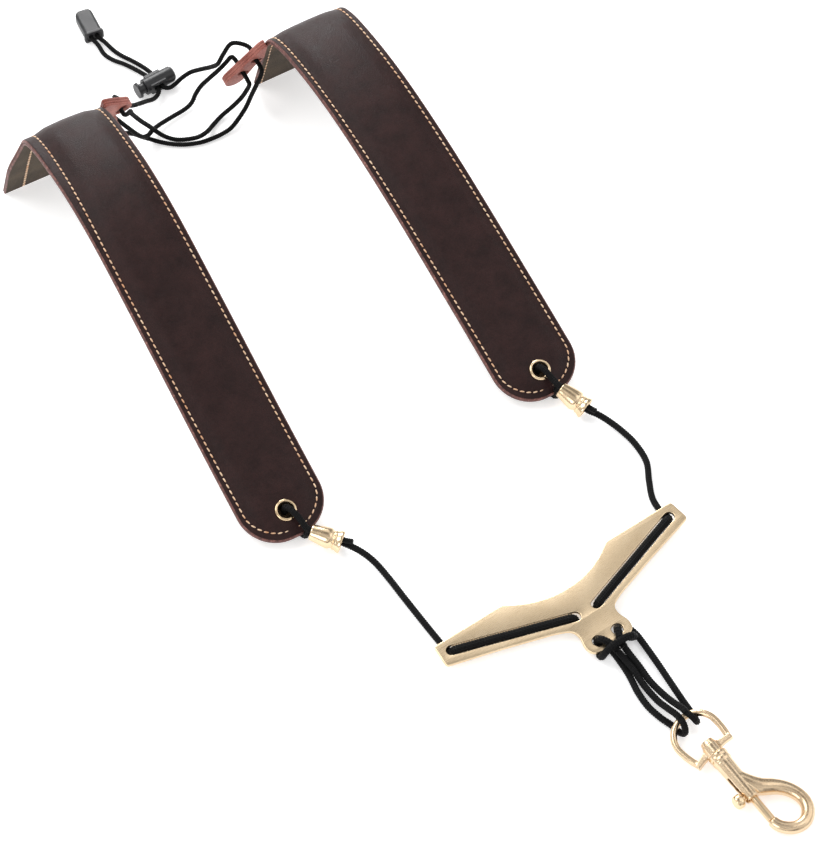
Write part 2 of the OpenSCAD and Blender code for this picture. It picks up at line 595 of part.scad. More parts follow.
color("#3e2e2c") at_pad(pose_l) pad_cover(run_l);  // left_pad_cover
color("#8a8478") at_pad(pose_l) pad_foam(run_l);  // left_pad_foam
color("#4b3e32") at_pad(pose_l) pad_lining(run_l, leg_l, 1, root_l);  // left_pad_lining
color("#ebc8aa") at_pad(pose_l) pad_thread(run_l);  // left_pad_thread
color("#e1c39b") at_pad(pose_l) eyelet(run_l);  // left_eyelet
color("#c8a878") at_pad(pose_l) eyelet_washer(run_l);  // left_eyelet_washer
color("#b46e64") at_pad(pose_l) tab_l();  // left_back_tab
color("#202020") knot(nose_l, mouth_l);  // left_knot
color("#1a1a1a") end_loop(nose_l, mouth_l, eye_l);  // left_end_loop
color("#e1c39b") bell(nose_l, mouth_l);  // left_bell
color("#191919") cord(main_l, cord_d, 1);  // left_main_cord
color("#3e2e2c") at_pad(pose_r) pad_cover(run_r);  // right_pad_cover
color("#8a8478") at_pad(pose_r) pad_foam(run_r);  // right_pad_foam
color("#4b3e32") at_pad(pose_r) pad_lining(run_r, leg_r, -1, root_r);  // right_pad_lining
color("#ebc8aa") at_pad(pose_r) pad_thread(run_r);  // right_pad_thread
color("#e1c39b") at_pad(pose_r) eyelet(run_r);  // right_eyelet
color("#c8a878") at_pad(pose_r) eyelet_washer(run_r);  // right_eyelet_washer
color("#b46e64") at_pad(pose_r) tab_r();  // right_back_tab
color("#202020") knot(nose_r, mouth_r);  // right_knot
color("#1a1a1a") end_loop(nose_r, mouth_r, eye_r);  // right_end_loop
color("#e1c39b") bell(nose_r, mouth_r);  // right_bell
color("#191919") cord(main_r, cord_d, 1);  // right_main_cord
color("#e1c39b") yoke_plate();
color("#222222") cord(slot_keys, cord_d, 1);  // left_slot_cord
color("#222222") cord([for (p = slot_keys) [-p[0], p[1], p[2]]], cord_d, 1);  // right_slot_cord
color("#262626") cord(concat(hitch_side(1), flip(hitch_side(-1))), cord_d, 1);  // hitch_cord
color("#1c1c1c") cord(drop_l, cord_d, 1);  // left_drop_cord
color("#1c1c1c") cord(drop_r, cord_d, 1);  // right_drop_cord
color("#282828") cord(ret_l, cord_d, 1);  // left_return_cord
color("#282828") cord(ret_r, cord_d, 1);  // right_return_cord
color("#1e1e1e") cord(wrap_l, cord_d, 1);  // left_eye_wrap
color("#1e1e1e") cord(wrap_r, cord_d, 1);  // right_eye_wrap
color("#e6cca6") snap_eye();
color("#c8a070") snap_post();
color("#e1c39b") snap_body();
color("#909090") snap_spring();
color("#f0dcb8") snap_bolt();
color("#d0ae80") snap_stud();
color("#1a1a1a") cord(tail_l, lace_d, 1);  // tail_cord_left
color("#222222") cord(tail_r, lace_d, 1);  // tail_cord_right
color("#1c1c1c") cord(lace_out, lace_d, 1);  // lace_outer
color("#242424") cord(lace_in, lace_d, 1);  // lace_inner
color("#2a2a2a") cord(lace_dia, lace_d, 1);  // lace_diagonal
color("#2d2d30") lock_barrel();
color("#909090") lock_spring();
color("#3a3a3e") lock_button();
color("#2d2d30") cord_end_shell();
color("#404044") cord_end_cap();
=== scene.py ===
"""Shoulder harness strap for a wind instrument, laid out on a pale table.

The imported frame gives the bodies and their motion; this script makes the looks.
Lengths in the tables are millimetres from the middle of the yoke plate's slots,
as in the part's own source; at() turns them into metres in the row's frame.
"""
import json
import math

import bmesh
import bpy
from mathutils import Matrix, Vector

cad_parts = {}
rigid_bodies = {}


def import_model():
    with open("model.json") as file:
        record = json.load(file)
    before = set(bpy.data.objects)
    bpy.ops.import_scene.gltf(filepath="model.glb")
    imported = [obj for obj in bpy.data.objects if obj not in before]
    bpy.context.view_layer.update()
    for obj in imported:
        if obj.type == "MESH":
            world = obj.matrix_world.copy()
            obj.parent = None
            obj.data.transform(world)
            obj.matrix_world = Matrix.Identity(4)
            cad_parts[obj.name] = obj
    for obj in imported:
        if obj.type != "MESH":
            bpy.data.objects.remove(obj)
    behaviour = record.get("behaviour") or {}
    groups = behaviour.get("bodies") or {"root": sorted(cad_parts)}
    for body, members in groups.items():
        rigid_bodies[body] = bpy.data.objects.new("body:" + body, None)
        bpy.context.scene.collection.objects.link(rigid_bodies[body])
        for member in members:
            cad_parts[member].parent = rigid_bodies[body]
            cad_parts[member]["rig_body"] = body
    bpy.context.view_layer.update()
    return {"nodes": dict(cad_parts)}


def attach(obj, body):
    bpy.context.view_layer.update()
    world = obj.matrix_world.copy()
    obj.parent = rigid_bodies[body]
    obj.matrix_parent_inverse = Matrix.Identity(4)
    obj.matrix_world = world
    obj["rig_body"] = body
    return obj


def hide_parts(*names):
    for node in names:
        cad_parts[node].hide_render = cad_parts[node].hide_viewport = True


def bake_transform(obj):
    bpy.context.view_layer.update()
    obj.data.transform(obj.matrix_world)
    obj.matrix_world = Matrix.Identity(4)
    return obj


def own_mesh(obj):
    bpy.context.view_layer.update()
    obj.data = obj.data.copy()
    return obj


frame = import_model()

MM = 0.001
MIDDLE = Vector((1.9, -98.3, 0))    # the middle of the yoke plate's slots, in the row's frame
PAD_W = 45
LINING_T, FOAM_T, COVER_T = 1.4, 2.2, 1.6
EDGE_T = LINING_T + COVER_T
FULL_T = EDGE_T + FOAM_T
TIP_R = 20                          # corners of a pad's front end
STITCH_INSET = 3.2
CORD_D, LACE_D = 3.3, 2.5
SLOT_CORD_D, HITCH_D = 4.4, 3.7     # the cord lies flattened in the slots and in the hitch
UP = Vector((0, 0, 1))


def at(p):
    """A point of the tables, in metres in the row's frame."""
    return (Vector(p) + MIDDLE) * MM


# ---------------------------------------------------------------- camera
CAMERA_TURN, CAMERA_DROP = 35.56, 54.49    # degrees from +Y towards +X, and down
CAMERA_AWAY = 1.67
CAMERA_AIM = (-1.6, 122.4, 0)


def camera():
    turn, drop = math.radians(CAMERA_TURN), math.radians(CAMERA_DROP)
    level = math.cos(drop)
    ahead = Vector((math.sin(turn) * level, math.cos(turn) * level, -math.sin(drop)))
    data = bpy.data.cameras.new("camera")
    data.lens = 144.04
    data.sensor_width = 36
    data.clip_start = 0.05
    eye = bpy.data.objects.new("camera", data)
    bpy.context.scene.collection.objects.link(eye)
    eye.location = at(CAMERA_AIM) - ahead * CAMERA_AWAY
    eye.rotation_euler = ahead.to_track_quat("-Z", "Y").to_euler()
    bpy.context.scene.camera = eye


camera()


# ---------------------------------------------------------------- curves
def smooth(keys, steps):
    """A Catmull-Rom run through the keys."""
    keys = [Vector(k) for k in keys]
    run = []
    last = len(keys) - 1
    for i in range(last):
        a, b, c, d = keys[max(i - 1, 0)], keys[i], keys[i + 1], keys[min(i + 2, last)]
        for j in range(steps):
            t = j / steps
            run.append(0.5 * (2 * b + (c - a) * t + (2 * a - 5 * b + 4 * c - d) * t * t
                              + (3 * b - a - 3 * c + d) * t ** 3))
    return run + [keys[-1]]


def spaced(run, step):
    """The same run, with points an even step apart."""
    total = length(run)
    count = max(2, round(total / step))
    out, i, gone = [], 0, 0.0
    for k in range(count + 1):
        want = total * k / count
        while i < len(run) - 2 and gone + (run[i + 1] - run[i]).length < want:
            gone += (run[i + 1] - run[i]).length
            i += 1
        part = (run[i + 1] - run[i]).length or 1
        out.append(run[i].lerp(run[i + 1], min(1, max(0, (want - gone) / part))))
    return out


def length(run):
    """A run's length, in its own units."""
    return sum((b - a).length for a, b in zip(run, run[1:]))


def link(name, mesh, *materials):
    """A new object in the scene."""
    piece = bpy.data.objects.new(name, mesh)
    bpy.context.scene.collection.objects.link(piece)
    for material in materials:
        mesh.materials.append(material)
    return piece


def soften(mesh, angle=35):
    """Smooth shading, with edges sharper than the angle kept."""
    for face in mesh.polygons:
        face.use_smooth = True
    mesh.set_sharp_from_angle(angle=math.radians(angle))


def tube(name, run, diameter, material, step=0.42, sides=32, braid=0.16, pitch=2.6):
    """A tube in metres along a run in millimetres; braid is the relief of its weave.

    Also returns the points that it follows, in metres.
    """
    points = spaced(run, step)
    tangents = [(points[min(i + 1, len(points) - 1)] - points[max(i - 1, 0)]).normalized()
                for i in range(len(points))]
    side = tangents[0].orthogonal().normalized()
    verts, along, gone = [], [], 0.0
    for i, (point, tangent) in enumerate(zip(points, tangents)):
        if i:
            gone += (point - points[i - 1]).length
            side = (side - tangent * side.dot(tangent)).normalized()
        up = tangent.cross(side)
        along.append(gone)
        for k in range(sides):
            a = 2 * math.pi * k / sides
            wind = 2 * math.pi * gone / pitch
            weave = math.sin(4 * a + wind) * math.sin(4 * a - wind)
            r = diameter / 2 * (1 - braid / 2 + braid * weave)
            verts.append(at(point + (side * math.cos(a) + up * math.sin(a)) * r))
    rings = len(points)
    faces = [(i * sides + k, i * sides + (k + 1) % sides,
              (i + 1) * sides + (k + 1) % sides, (i + 1) * sides + k)
             for i in range(rings - 1) for k in range(sides)]
    faces.append(tuple(range(sides - 1, -1, -1)))
    faces.append(tuple((rings - 1) * sides + k for k in range(sides)))
    mesh = bpy.data.meshes.new(name)
    mesh.from_pydata(verts, [], faces)
    chart = mesh.uv_layers.new(name="run")
    corner = 0
    for i in range(rings - 1):
        for k in range(sides):
            for ring, n in ((i, k), (i, k + 1), (i + 1, k + 1), (i + 1, k)):
                chart.data[corner].uv = (n / sides, along[ring] / pitch)
                corner += 1
    mesh.update()
    soften(mesh, 60)
    return link(name, mesh, material), [at(p) for p in points]


# ---------------------------------------------------------------- materials
def shader(name):
    """A new material, its node tree and its surface shader."""
    material = bpy.data.materials.new(name)
    material.use_nodes = True
    return material, material.node_tree, material.node_tree.nodes["Principled BSDF"]


def node(tree, kind, links=(), **values):
    """A node with values set on its inputs or settings, and links into its sockets."""
    made = tree.nodes.new(kind)
    for key, value in values.items():
        if key in made.inputs:
            made.inputs[key].default_value = value
        else:
            setattr(made, key, value)
    for socket, source in links:
        tree.links.new(source, made.inputs[socket])
    return made


def ramp(tree, source, *stops):
    """A colour ramp from (place, colour) stops."""
    made = tree.nodes.new("ShaderNodeValToRGB")
    line = made.color_ramp
    while len(line.elements) < len(stops):
        line.elements.new(0.5)
    for element, (place, colour) in zip(line.elements, stops):
        element.position = place
        element.color = (*colour, 1)
    tree.links.new(source, made.inputs["Fac"])
    return made.outputs["Color"]


def grey(v):
    return (v, v, v)


def object_place(tree):
    return tree.nodes.new("ShaderNodeTexCoord").outputs["Object"]


def noise(tree, place, scale, detail, rough=0.5):
    """The height of a cloudy noise."""
    return node(tree, "ShaderNodeTexNoise", [("Vector", place)], Scale=scale, Detail=detail,
                Roughness=rough).outputs["Fac"]


def bump(tree, height, strength, distance, over=None):
    """Normals with a relief, over an earlier relief if there is one."""
    links = [("Height", height)] + ([] if over is None else [("Normal", over)])
    return node(tree, "ShaderNodeBump", links, Strength=strength, Distance=distance).outputs[0]


def calc(tree, operation, *terms):
    """A maths node; each term is a number or another node's output."""
    made = node(tree, "ShaderNodeMath", operation=operation)
    for socket, term in zip(made.inputs, terms):
        if isinstance(term, (int, float)):
            socket.default_value = term
        else:
            tree.links.new(term, socket)
    return made.outputs[0]


def leather(name, dark, light, rough, coat, grain=1100):
    """Grain in pores and creases, mottled colour, and a soft waxy gloss."""
    material, tree, skin = shader(name)
    place = object_place(tree)
    warp = node(tree, "ShaderNodeTexNoise", [("Vector", place)], Scale=420, Detail=3)
    bent = node(tree, "ShaderNodeVectorMath", [(0, warp.outputs["Color"]), (2, place)],
                operation="MULTIPLY_ADD")
    bent.inputs[1].default_value = grey(0.0009)
    cells = node(tree, "ShaderNodeTexVoronoi", [("Vector", bent.outputs[0])], Scale=grain,
                 feature="DISTANCE_TO_EDGE")
    pores = ramp(tree, cells.outputs["Distance"], (0.0, grey(0)), (0.18, grey(0.8)), (0.6, grey(1)))
    broad = noise(tree, place, 95, 7, 0.62)
    fine = noise(tree, place, 2600, 2)
    creases = bump(tree, broad, 0.35, 0.0006)
    pitted = bump(tree, pores, 0.5, 0.00016, creases)
    tree.links.new(bump(tree, fine, 0.25, 0.00008, pitted), skin.inputs["Normal"])
    tone = ramp(tree, broad, (0.32, dark), (0.68, light))
    pale = node(tree, "ShaderNodeMix", data_type="RGBA", blend_type="MULTIPLY")
    pale.inputs["Factor"].default_value = 0.35
    tree.links.new(tone, pale.inputs[6])
    tree.links.new(pores, pale.inputs[7])
    tree.links.new(pale.outputs[2], skin.inputs["Base Color"])
    gloss = ramp(tree, broad, (0.3, grey(rough - 0.05)), (0.7, grey(rough + 0.08)))
    tree.links.new(gloss, skin.inputs["Roughness"])
    skin.inputs["Coat Weight"].default_value = coat
    skin.inputs["Coat Roughness"].default_value = 0.36
    skin.inputs["Specular IOR Level"].default_value = 0.18
    return material


def edge_paint(name):
    """Painted, burnished cut edge: layered streaks along the hide."""
    material, tree, skin = shader(name)
    place = object_place(tree)
    streaks = noise(tree, place, 520, 6, 0.7)
    colour = ramp(tree, streaks, (0.36, (0.05, 0.016, 0.013)),
                  (0.55, (0.15, 0.048, 0.038)), (0.72, (0.42, 0.20, 0.16)))
    tree.links.new(colour, skin.inputs["Base Color"])
    tree.links.new(bump(tree, streaks, 0.7, 0.0002), skin.inputs["Normal"])
    skin.inputs["Roughness"].default_value = 0.5
    return material


def suede(name, dark, light):
    """Napped lining: fine fibres over broad, brushed patches."""
    material, tree, skin = shader(name)
    place = object_place(tree)
    nap = noise(tree, place, 1500, 5, 0.75)
    mix = calc(tree, "MULTIPLY", calc(tree, "ADD", nap, noise(tree, place, 70, 5)), 0.5)
    tree.links.new(ramp(tree, mix, (0.38, dark), (0.62, light)), skin.inputs["Base Color"])
    tree.links.new(bump(tree, nap, 0.8, 0.0002), skin.inputs["Normal"])
    skin.inputs["Roughness"].default_value = 0.86
    skin.inputs["Specular IOR Level"].default_value = 0.25
    skin.inputs["Sheen Weight"].default_value = 0.06
    skin.inputs["Sheen Roughness"].default_value = 0.5
    return material


def thread(name):
    """Waxed thread, cream with patches of orange, over a twisted relief."""
    material, tree, skin = shader(name)
    place = object_place(tree)
    twist = node(tree, "ShaderNodeTexWave", [("Vector", place)], Scale=900, Distortion=3.0, Detail=1)
    twist.bands_direction = "DIAGONAL"
    colour = ramp(tree, noise(tree, place, 180, 3), (0.3, (0.66, 0.33, 0.17)),
                  (0.6, (0.86, 0.62, 0.42)))
    tree.links.new(colour, skin.inputs["Base Color"])
    tree.links.new(bump(tree, twist.outputs["Fac"], 0.5, 0.0001), skin.inputs["Normal"])
    skin.inputs["Roughness"].default_value = 0.55
    return material


def braid_painted_shade(name, dark, light, plies=8):
    """Black braid: crossing plies from the tube's own chart, over the modelled relief, coloured
    lighter on its ridges and darker in its valleys as painted highlight and painted shade.
    """
    material, tree, skin = shader(name)
    chart = node(tree, "ShaderNodeUVMap", uv_map="run")
    split = node(tree, "ShaderNodeSeparateXYZ", [("Vector", chart.outputs["UV"])])

    def ply(sign):
        """The ridges of the plies that wind one way."""
        around = calc(tree, "MULTIPLY", split.outputs["X"], 2 * math.pi * plies)
        run = calc(tree, "MULTIPLY", split.outputs["Y"], sign * 4 * math.pi)
        return calc(tree, "SINE", calc(tree, "ADD", around, run))

    raised = calc(tree, "MULTIPLY_ADD", calc(tree, "MULTIPLY", ply(1), ply(-1)), 0.5, 0.5)
    fuzz = noise(tree, object_place(tree), 3200, 3)
    height = calc(tree, "MULTIPLY_ADD", fuzz, 0.5, raised)
    tree.links.new(bump(tree, height, 0.9, 0.00022), skin.inputs["Normal"])
    # painted light: the colour runs from dark in the weave's valleys to light on its ridges, painted
    # shade and painted highlight
    tree.links.new(ramp(tree, height, (0.5, dark), (1.2, light)), skin.inputs["Base Color"])
    skin.inputs["Roughness"].default_value = 0.45
    skin.inputs["Specular IOR Level"].default_value = 0.08
    return material


def metal(name, colour, shade, rough, brushed=0.0, cast=0.0):
    """Champagne-gold plating: slight tone drift, fine brushing or casting relief."""
    material, tree, skin = shader(name)
    place = object_place(tree)
    skin.inputs["Metallic"].default_value = 1.0
    drift = noise(tree, place, 70, 5, 0.6)
    tree.links.new(ramp(tree, drift, (0.3, shade), (0.62, colour)), skin.inputs["Base Color"])
    stretch = node(tree, "ShaderNodeMapping", [("Vector", place)])
    stretch.inputs["Scale"].default_value = (260, 4200, 4200)
    lines = noise(tree, stretch.outputs[0], 1, 3)
    gloss = ramp(tree, lines, (0.25, grey(rough - 0.05)), (0.75, grey(rough + 0.07)))
    tree.links.new(gloss, skin.inputs["Roughness"])
    brushing = bump(tree, lines, brushed, 0.00005)
    tree.links.new(bump(tree, noise(tree, place, 420, 3), cast, 0.0002, brushing),
                   skin.inputs["Normal"])
    return material


def plastic(name, colour, rough):
    """Moulded plastic with a fine spark-eroded skin."""
    material, tree, skin = shader(name)
    place = object_place(tree)
    broad = noise(tree, place, 150, 4)
    shade = tuple(0.7 * c for c in colour)
    tree.links.new(ramp(tree, broad, (0.3, shade), (0.7, colour)), skin.inputs["Base Color"])
    gloss = ramp(tree, broad, (0.3, grey(rough)), (0.7, grey(rough + 0.1)))
    tree.links.new(gloss, skin.inputs["Roughness"])
    spark = noise(tree, place, 2400, 3)
    tree.links.new(bump(tree, spark, 0.35, 0.00012), skin.inputs["Normal"])
    return material


HIDE = leather("cover_leather", (0.0165, 0.0050, 0.0046), (0.033, 0.0115, 0.0105), 0.42, coat=0.03)
EDGE = edge_paint("edge_paint")
LINING = suede("lining_suede", (0.032, 0.021, 0.012), (0.080, 0.056, 0.034))
TAB = leather("tab_leather", (0.30, 0.085, 0.065), (0.52, 0.20, 0.16), 0.46, coat=0.1, grain=900)
THREAD = thread("thread")
# The braids' dark colour is painted shade in the weave's valleys, and their light colour is a painted
# highlight on its ridges.
BRAID_PAINTED_SHADE = braid_painted_shade("braid", (0.0006, 0.0006, 0.0006), (0.015, 0.015, 0.0155))
LACE_PAINTED_SHADE = braid_painted_shade("lace_braid_painted_shade", (0.0006, 0.0006, 0.0006), (0.013, 0.013, 0.0135), 6)
PLATE = metal("gold_plate", (0.80, 0.63, 0.42), (0.73, 0.56, 0.36), 0.27, brushed=0.05)
POLISH = metal("gold_polish", (0.84, 0.65, 0.43), (0.73, 0.54, 0.33), 0.19, brushed=0.05, cast=0.04)
CAST = metal("gold_cast", (0.80, 0.62, 0.42), (0.67, 0.49, 0.31), 0.24, brushed=0.04, cast=0.18)
STEEL = metal("spring_steel", (0.62, 0.62, 0.62), (0.5, 0.5, 0.5), 0.25)
BLACK = plastic("black_plastic", (0.014, 0.014, 0.016), 0.34)


def stand_for(piece, slot, body, *nodes):
    """The piece rides on a body, or, given two, is left fixed where it is, in place of its CAD nodes.
    """
    if isinstance(body, str):
        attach(piece, body)
    else:
        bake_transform(piece)
    if nodes:
        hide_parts(*nodes)
    return piece


# ---------------------------------------------------------------- cords
# The ends of each bell's axis, the middle of each eyelet's top, each pad's place (x, y and turn
# in degrees), and each pad's back leg (y, z and lean in degrees).
NOSE_L, MOUTH_L = Vector((-82.2, 91.9, 8.6)), Vector((-72.6, 79.8, 5.9))
NOSE_R, MOUTH_R = Vector((66.1, 88.9, 10.2)), Vector((71.1, 74.6, 5.9))
EYE_L, EYE_R = Vector((-86.2, 107.8, 13.6)), Vector((63.6, 104.1, 13.4))
POSE_L, POSE_R = (-63.5, 336.5, -5.7), (80.5, 333, -4.2)
LEG_L, LEG_R = (8.8, 39, 21.2), (4.4, 30, 18.26)
TAB_W, TAB_T = 15, 4.4


def on_bell(a, b, s, up=0.0):
    """A point s along a bell's axis from a towards b, raised square to it."""
    v = (b - a).normalized()
    lift = (UP - v * v.z).normalized()
    return a + v * s + lift * up


def loop_keys(nose, mouth, e):
    """An end loop: out of the bell, down through the eyelet at e and back under the pad."""
    q = Vector((nose.x - e.x, nose.y - e.y, 0)).normalized()
    over = [on_bell(nose, mouth, *p) for p in ((5.2, 1.7), (1.5, 1.72), (-2.2, 1.9))]
    through = [e + q * 9.2 + UP * 0.1, e + q * 4.2 + UP * 2.2, e + q * 0.6 + UP * 1.2,
               e - q * 0.3 - UP * 2.5, e - q * 0.1 - UP * 6, e + q * 2.6 - UP * 8.9,
               e + q * 8 - UP * (e.z - 1.75), e + q * 12.6 - UP * (e.z - 1.85)]
    under = [on_bell(nose, mouth, *p) for p in ((-1.6, -1.95), (1.5, -1.72), (5.2, -1.7))]
    return over + through + under


MAIN_L = [on_bell(NOSE_L, MOUTH_L, 12), on_bell(NOSE_L, MOUTH_L, 17), (-67.4, 71.5, 4),
          (-64.9, 63, 2.6), (-64.5, 52, 2), (-64.9, 40, 1.9), (-65.2, 30, 1.9), (-65.5, 18, 1.9),
          (-65.6, 8, 1.75), (-65.6, 3.8, 1.75)]
MAIN_R = [on_bell(NOSE_R, MOUTH_R, 12), on_bell(NOSE_R, MOUTH_R, 17), (74.8, 69, 4),
          (77.6, 62.5, 2.6), (79.4, 54, 2), (79.8, 45, 1.9), (77.8, 34, 1.9), (72, 24.5, 1.9),
          (67.2, 16, 1.8), (65.6, 9.4, 1.75), (65.6, 3.8, 1.75)]
TOP_Z = 5.2                         # the cord's middle as it lies along a slot
SLOT_RUN = [(-65.6, 3.6, 1.75), (-65.4, 1.5, 1.9), (-64.9, 0.1, 3.4), (-63.6, -0.6, TOP_Z - 0.3),
            (-61.4, -1.4, TOP_Z), (-56, -3.1, TOP_Z), (-46, -6.3, TOP_Z), (-36, -9.6, TOP_Z),
            (-26, -12.8, TOP_Z), (-16, -16.1, TOP_Z), (-9.4, -18.3, TOP_Z), (-7.4, -18.9, 4.2),
            (-6.6, -19.5, 2.5), (-6.4, -21.4, 1.75)]
DROP_L = [(-6.4, -21.6, 1.75), (-5.2, -28.6, 1.75), (-3, -34.6, 1.75), (-2.4, -40, 1.8),
          (-2.6, -46.4, 2), (-3.9, -57, 2.2), (-6.5, -68, 2.2), (-7.3, -77, 2.2), (-6.2, -85, 2.1),
          (-4.6, -90.5, 1.9), (-4, -94.2, 1.7)]
DROP_R = [(6.4, -21.6, 1.75), (8.6, -29, 1.75), (11.4, -35.6, 1.75), (12.6, -41.6, 1.8),
          (12.2, -48, 2), (10.8, -60, 2.4), (9, -72, 3), (7.3, -83, 3.8), (6.3, -90.5, 4.4),
          (6.1, -93.9, 4.5)]
RETURN_L = [(-2.6, -94.2, 10.5), (-2.6, -90.5, 9.9), (-2.7, -84, 7), (-2.6, -77, 4.2),
            (-2.3, -67, 3.4), (-1.6, -58, 4.8), (-1.6, -52, 5.2), (-1.9, -46.6, 6.1)]
RETURN_R = [(0.9, -93.9, 12.5), (0.9, -91, 12.1), (1.1, -84, 8.2), (1.3, -77, 5.2),
            (1.3, -67, 3.6), (1.9, -58, 4.2), (1.8, -52, 5.3), (1.9, -46.6, 6.1)]


def wrap_keys(x0, x1, y, z, half_y, half_z):
    """The half turn of cord round the snap hook's eye, from below it to above it."""
    return [(x0 + (a + 90) / 180 * (x1 - x0), y - half_y * math.cos(math.radians(a)),
             z + half_z * math.sin(math.radians(a))) for a in range(-90, 91, 20)]


def hitch_side(s):
    """One side of the hitch: up over the plate, down its hole and round to the bar in front."""
    keys = [(-1.9, -46.3, 6.2), (-2.2, -43.4, 6.9), (-3.2, -40.6, 7.6), (-5, -37.2, 7.6),
            (-5.9, -35.6, 5.2), (-6.1, -36, 3), (-6.9, -38.6, 1.8), (-8.8, -41.6, 2.6),
            (-9.4, -43.9, 5.4), (-8.2, -44.6, 8.6), (-5.6, -44.4, 9.9), (-2.6, -44.2, 10.2)]
    return [(x * s, y, z) for x, y, z in keys]


def cord(name, keys, body, *nodes, diameter=CORD_D, **facts):
    """A braided run through the keys; the facts are not used."""
    lace = diameter == LACE_D
    weave = {"step": 0.36, "sides": 24, "pitch": 2.1} if lace else {}
    piece, path = tube(name, smooth(keys, 10), diameter, LACE_PAINTED_SHADE if lace else BRAID_PAINTED_SHADE, **weave)
    stand_for(piece, "lace" if lace else "cord", body, *nodes)


to_plate = ("harness", "yoke", at((0, 68, 3)), at((0, 6, 3)))
for side, nose, mouth, eyelet, main in (("left", NOSE_L, MOUTH_L, EYE_L, MAIN_L),
                                        ("right", NOSE_R, MOUTH_R, EYE_R, MAIN_R)):
    cord(f"{side}_loop", loop_keys(nose, mouth, eyelet), "harness", f"{side}_end_loop")
    cord(f"{side}_main", main, to_plate, f"{side}_main_cord", far_end="object")

to_eye = ("yoke", "drop_loops", at((0, -50, 3)), at((0, -89, 3)))
cord("left_slot", SLOT_RUN, "yoke", "left_slot_cord", diameter=SLOT_CORD_D)
cord("right_slot", [(-x, y, z) for x, y, z in SLOT_RUN], "yoke", "right_slot_cord",
     diameter=SLOT_CORD_D)
cord("hitch", hitch_side(1) + hitch_side(-1)[::-1], "yoke", "hitch_cord", diameter=HITCH_D)
cord("left_drop", DROP_L, to_eye, "left_drop_cord", far_end="object")
cord("right_drop", DROP_R, to_eye, "right_drop_cord", far_end="object")
cord("left_return", RETURN_L, to_eye, "left_return_cord", far_end="object")
cord("right_return", RETURN_R, to_eye, "right_return_cord", far_end="object")
cord("left_wrap", wrap_keys(-4, -2.6, -94.3, 6.1, 4.8, 4.4), "drop_loops", "left_eye_wrap")
cord("right_wrap", wrap_keys(6.1, 0.9, -94, 8.5, 4.6, 4), "drop_loops", "right_eye_wrap")


def turned(x, y, angle):
    """A point turned about the origin by an angle in degrees."""
    c, s = math.cos(math.radians(angle)), math.sin(math.radians(angle))
    return x * c - y * s, x * s + y * c


def on_pad(pose, x, y, z):
    """A point in a pad's own axes, moved to the tables' axes."""
    px, py = turned(x, y, pose[2])
    return Vector((pose[0] + px, pose[1] + py, z))


def on_leg(pose, leg, side, x, up, out):
    """A point on the back leg: x across, up the slope, out from the inner face."""
    dy, dz = turned(out, up, leg[2])
    return on_pad(pose, side * x, leg[0] + dy, leg[1] + dz)


MID_T = EDGE_T / 2                  # halfway through a back tab
TAB_TOP_L, TAB_DROOP_L = 30, 31     # a tab's upper edge on the leg, and its droop in degrees
TAB_TOP_R, TAB_DROOP_R = 19, 52
TAB_HOLES_L, TAB_HOLES_R = [12.6], [8, 19]
LOBE = (PAD_W / 2 + 5.2, 2)         # the hole in the left tab's lower lobe
END_AT, END_TURN = (6.6, 425.8, 3.6), -11    # the cord end's place, and its turn in degrees


def arm(top, droop, k):
    """A point k along a tab's middle line, from the pad's edge."""
    return (PAD_W / 2 + k * math.cos(math.radians(droop)),
            top - TAB_W / 2 - k * math.sin(math.radians(droop)))


def tl(k, out):
    """A point in line with the left tab, k from the pad and out from the leg."""
    return on_leg(POSE_L, LEG_L, 1, *arm(TAB_TOP_L, TAB_DROOP_L, k), out)


def tr(k, out):
    """A point in line with the right tab, k from the pad and out from the leg."""
    return on_leg(POSE_R, LEG_R, -1, *arm(TAB_TOP_R, TAB_DROOP_R, k), out)


def lobe(out):
    """A point in line with the hole in the left tab's lobe."""
    return on_leg(POSE_L, LEG_L, 1, *LOBE, out)


def end_pt(x, y):
    """A point of the cord end, in its own axes."""
    dx, dy = turned(x, y, END_TURN)
    return Vector(END_AT) + Vector((dx, dy, 0))


TAIL_L_UP = [end_pt(-1.7, 7), end_pt(-1.7, -0.6), (5.4, 420.3, 2.4), (4.8, 413.7, 1.8),
             (6.5, 407.5, 1.6), (9.7, 401.7, 1.6), (12, 396, 1.8), (13.2, 389.6, 3.2),
             (13.7, 384.8, 4.5), (13.7, 379, 4.6)]
TAIL_L_LOW = [(13.7, 379, 4.6), (13.7, 373.6, 4.5), (11.6, 371, 4.4), (7.2, 368.4, 6),
              (0.7, 364.7, 12), (-8, 357.9, 22), (-16.5, 351.1, 33), (-22.5, 348.6, 43),
              (-27.2, 346.6, 51), tl(12.6, 5.6), tl(12.6, MID_T)]
TAIL_R_UP = [end_pt(1.7, 7), end_pt(1.7, -0.6), (9.6, 420, 2.2), (10.4, 413.7, 1.6),
             (11.8, 407.7, 1.6), (14.4, 401.3, 1.6), (16.4, 394.5, 2), (16.9, 389.4, 3.2),
             (16.7, 384.8, 4.5), (16.7, 379, 4.6)]
TAIL_R_LOW = [(16.7, 379, 4.6), (16.7, 373.6, 4.5), (19.6, 371.9, 3.6), (24, 373, 2.8),
              (28.3, 373.9, 3.4), (32.8, 371.9, 7), (35.6, 366, 13), (38.2, 358.7, 20),
              (37.9, 350.9, 30), (41.5, 350.4, 36), (47.5, 351, 39.6), tr(8, 8.5), tr(8, MID_T)]
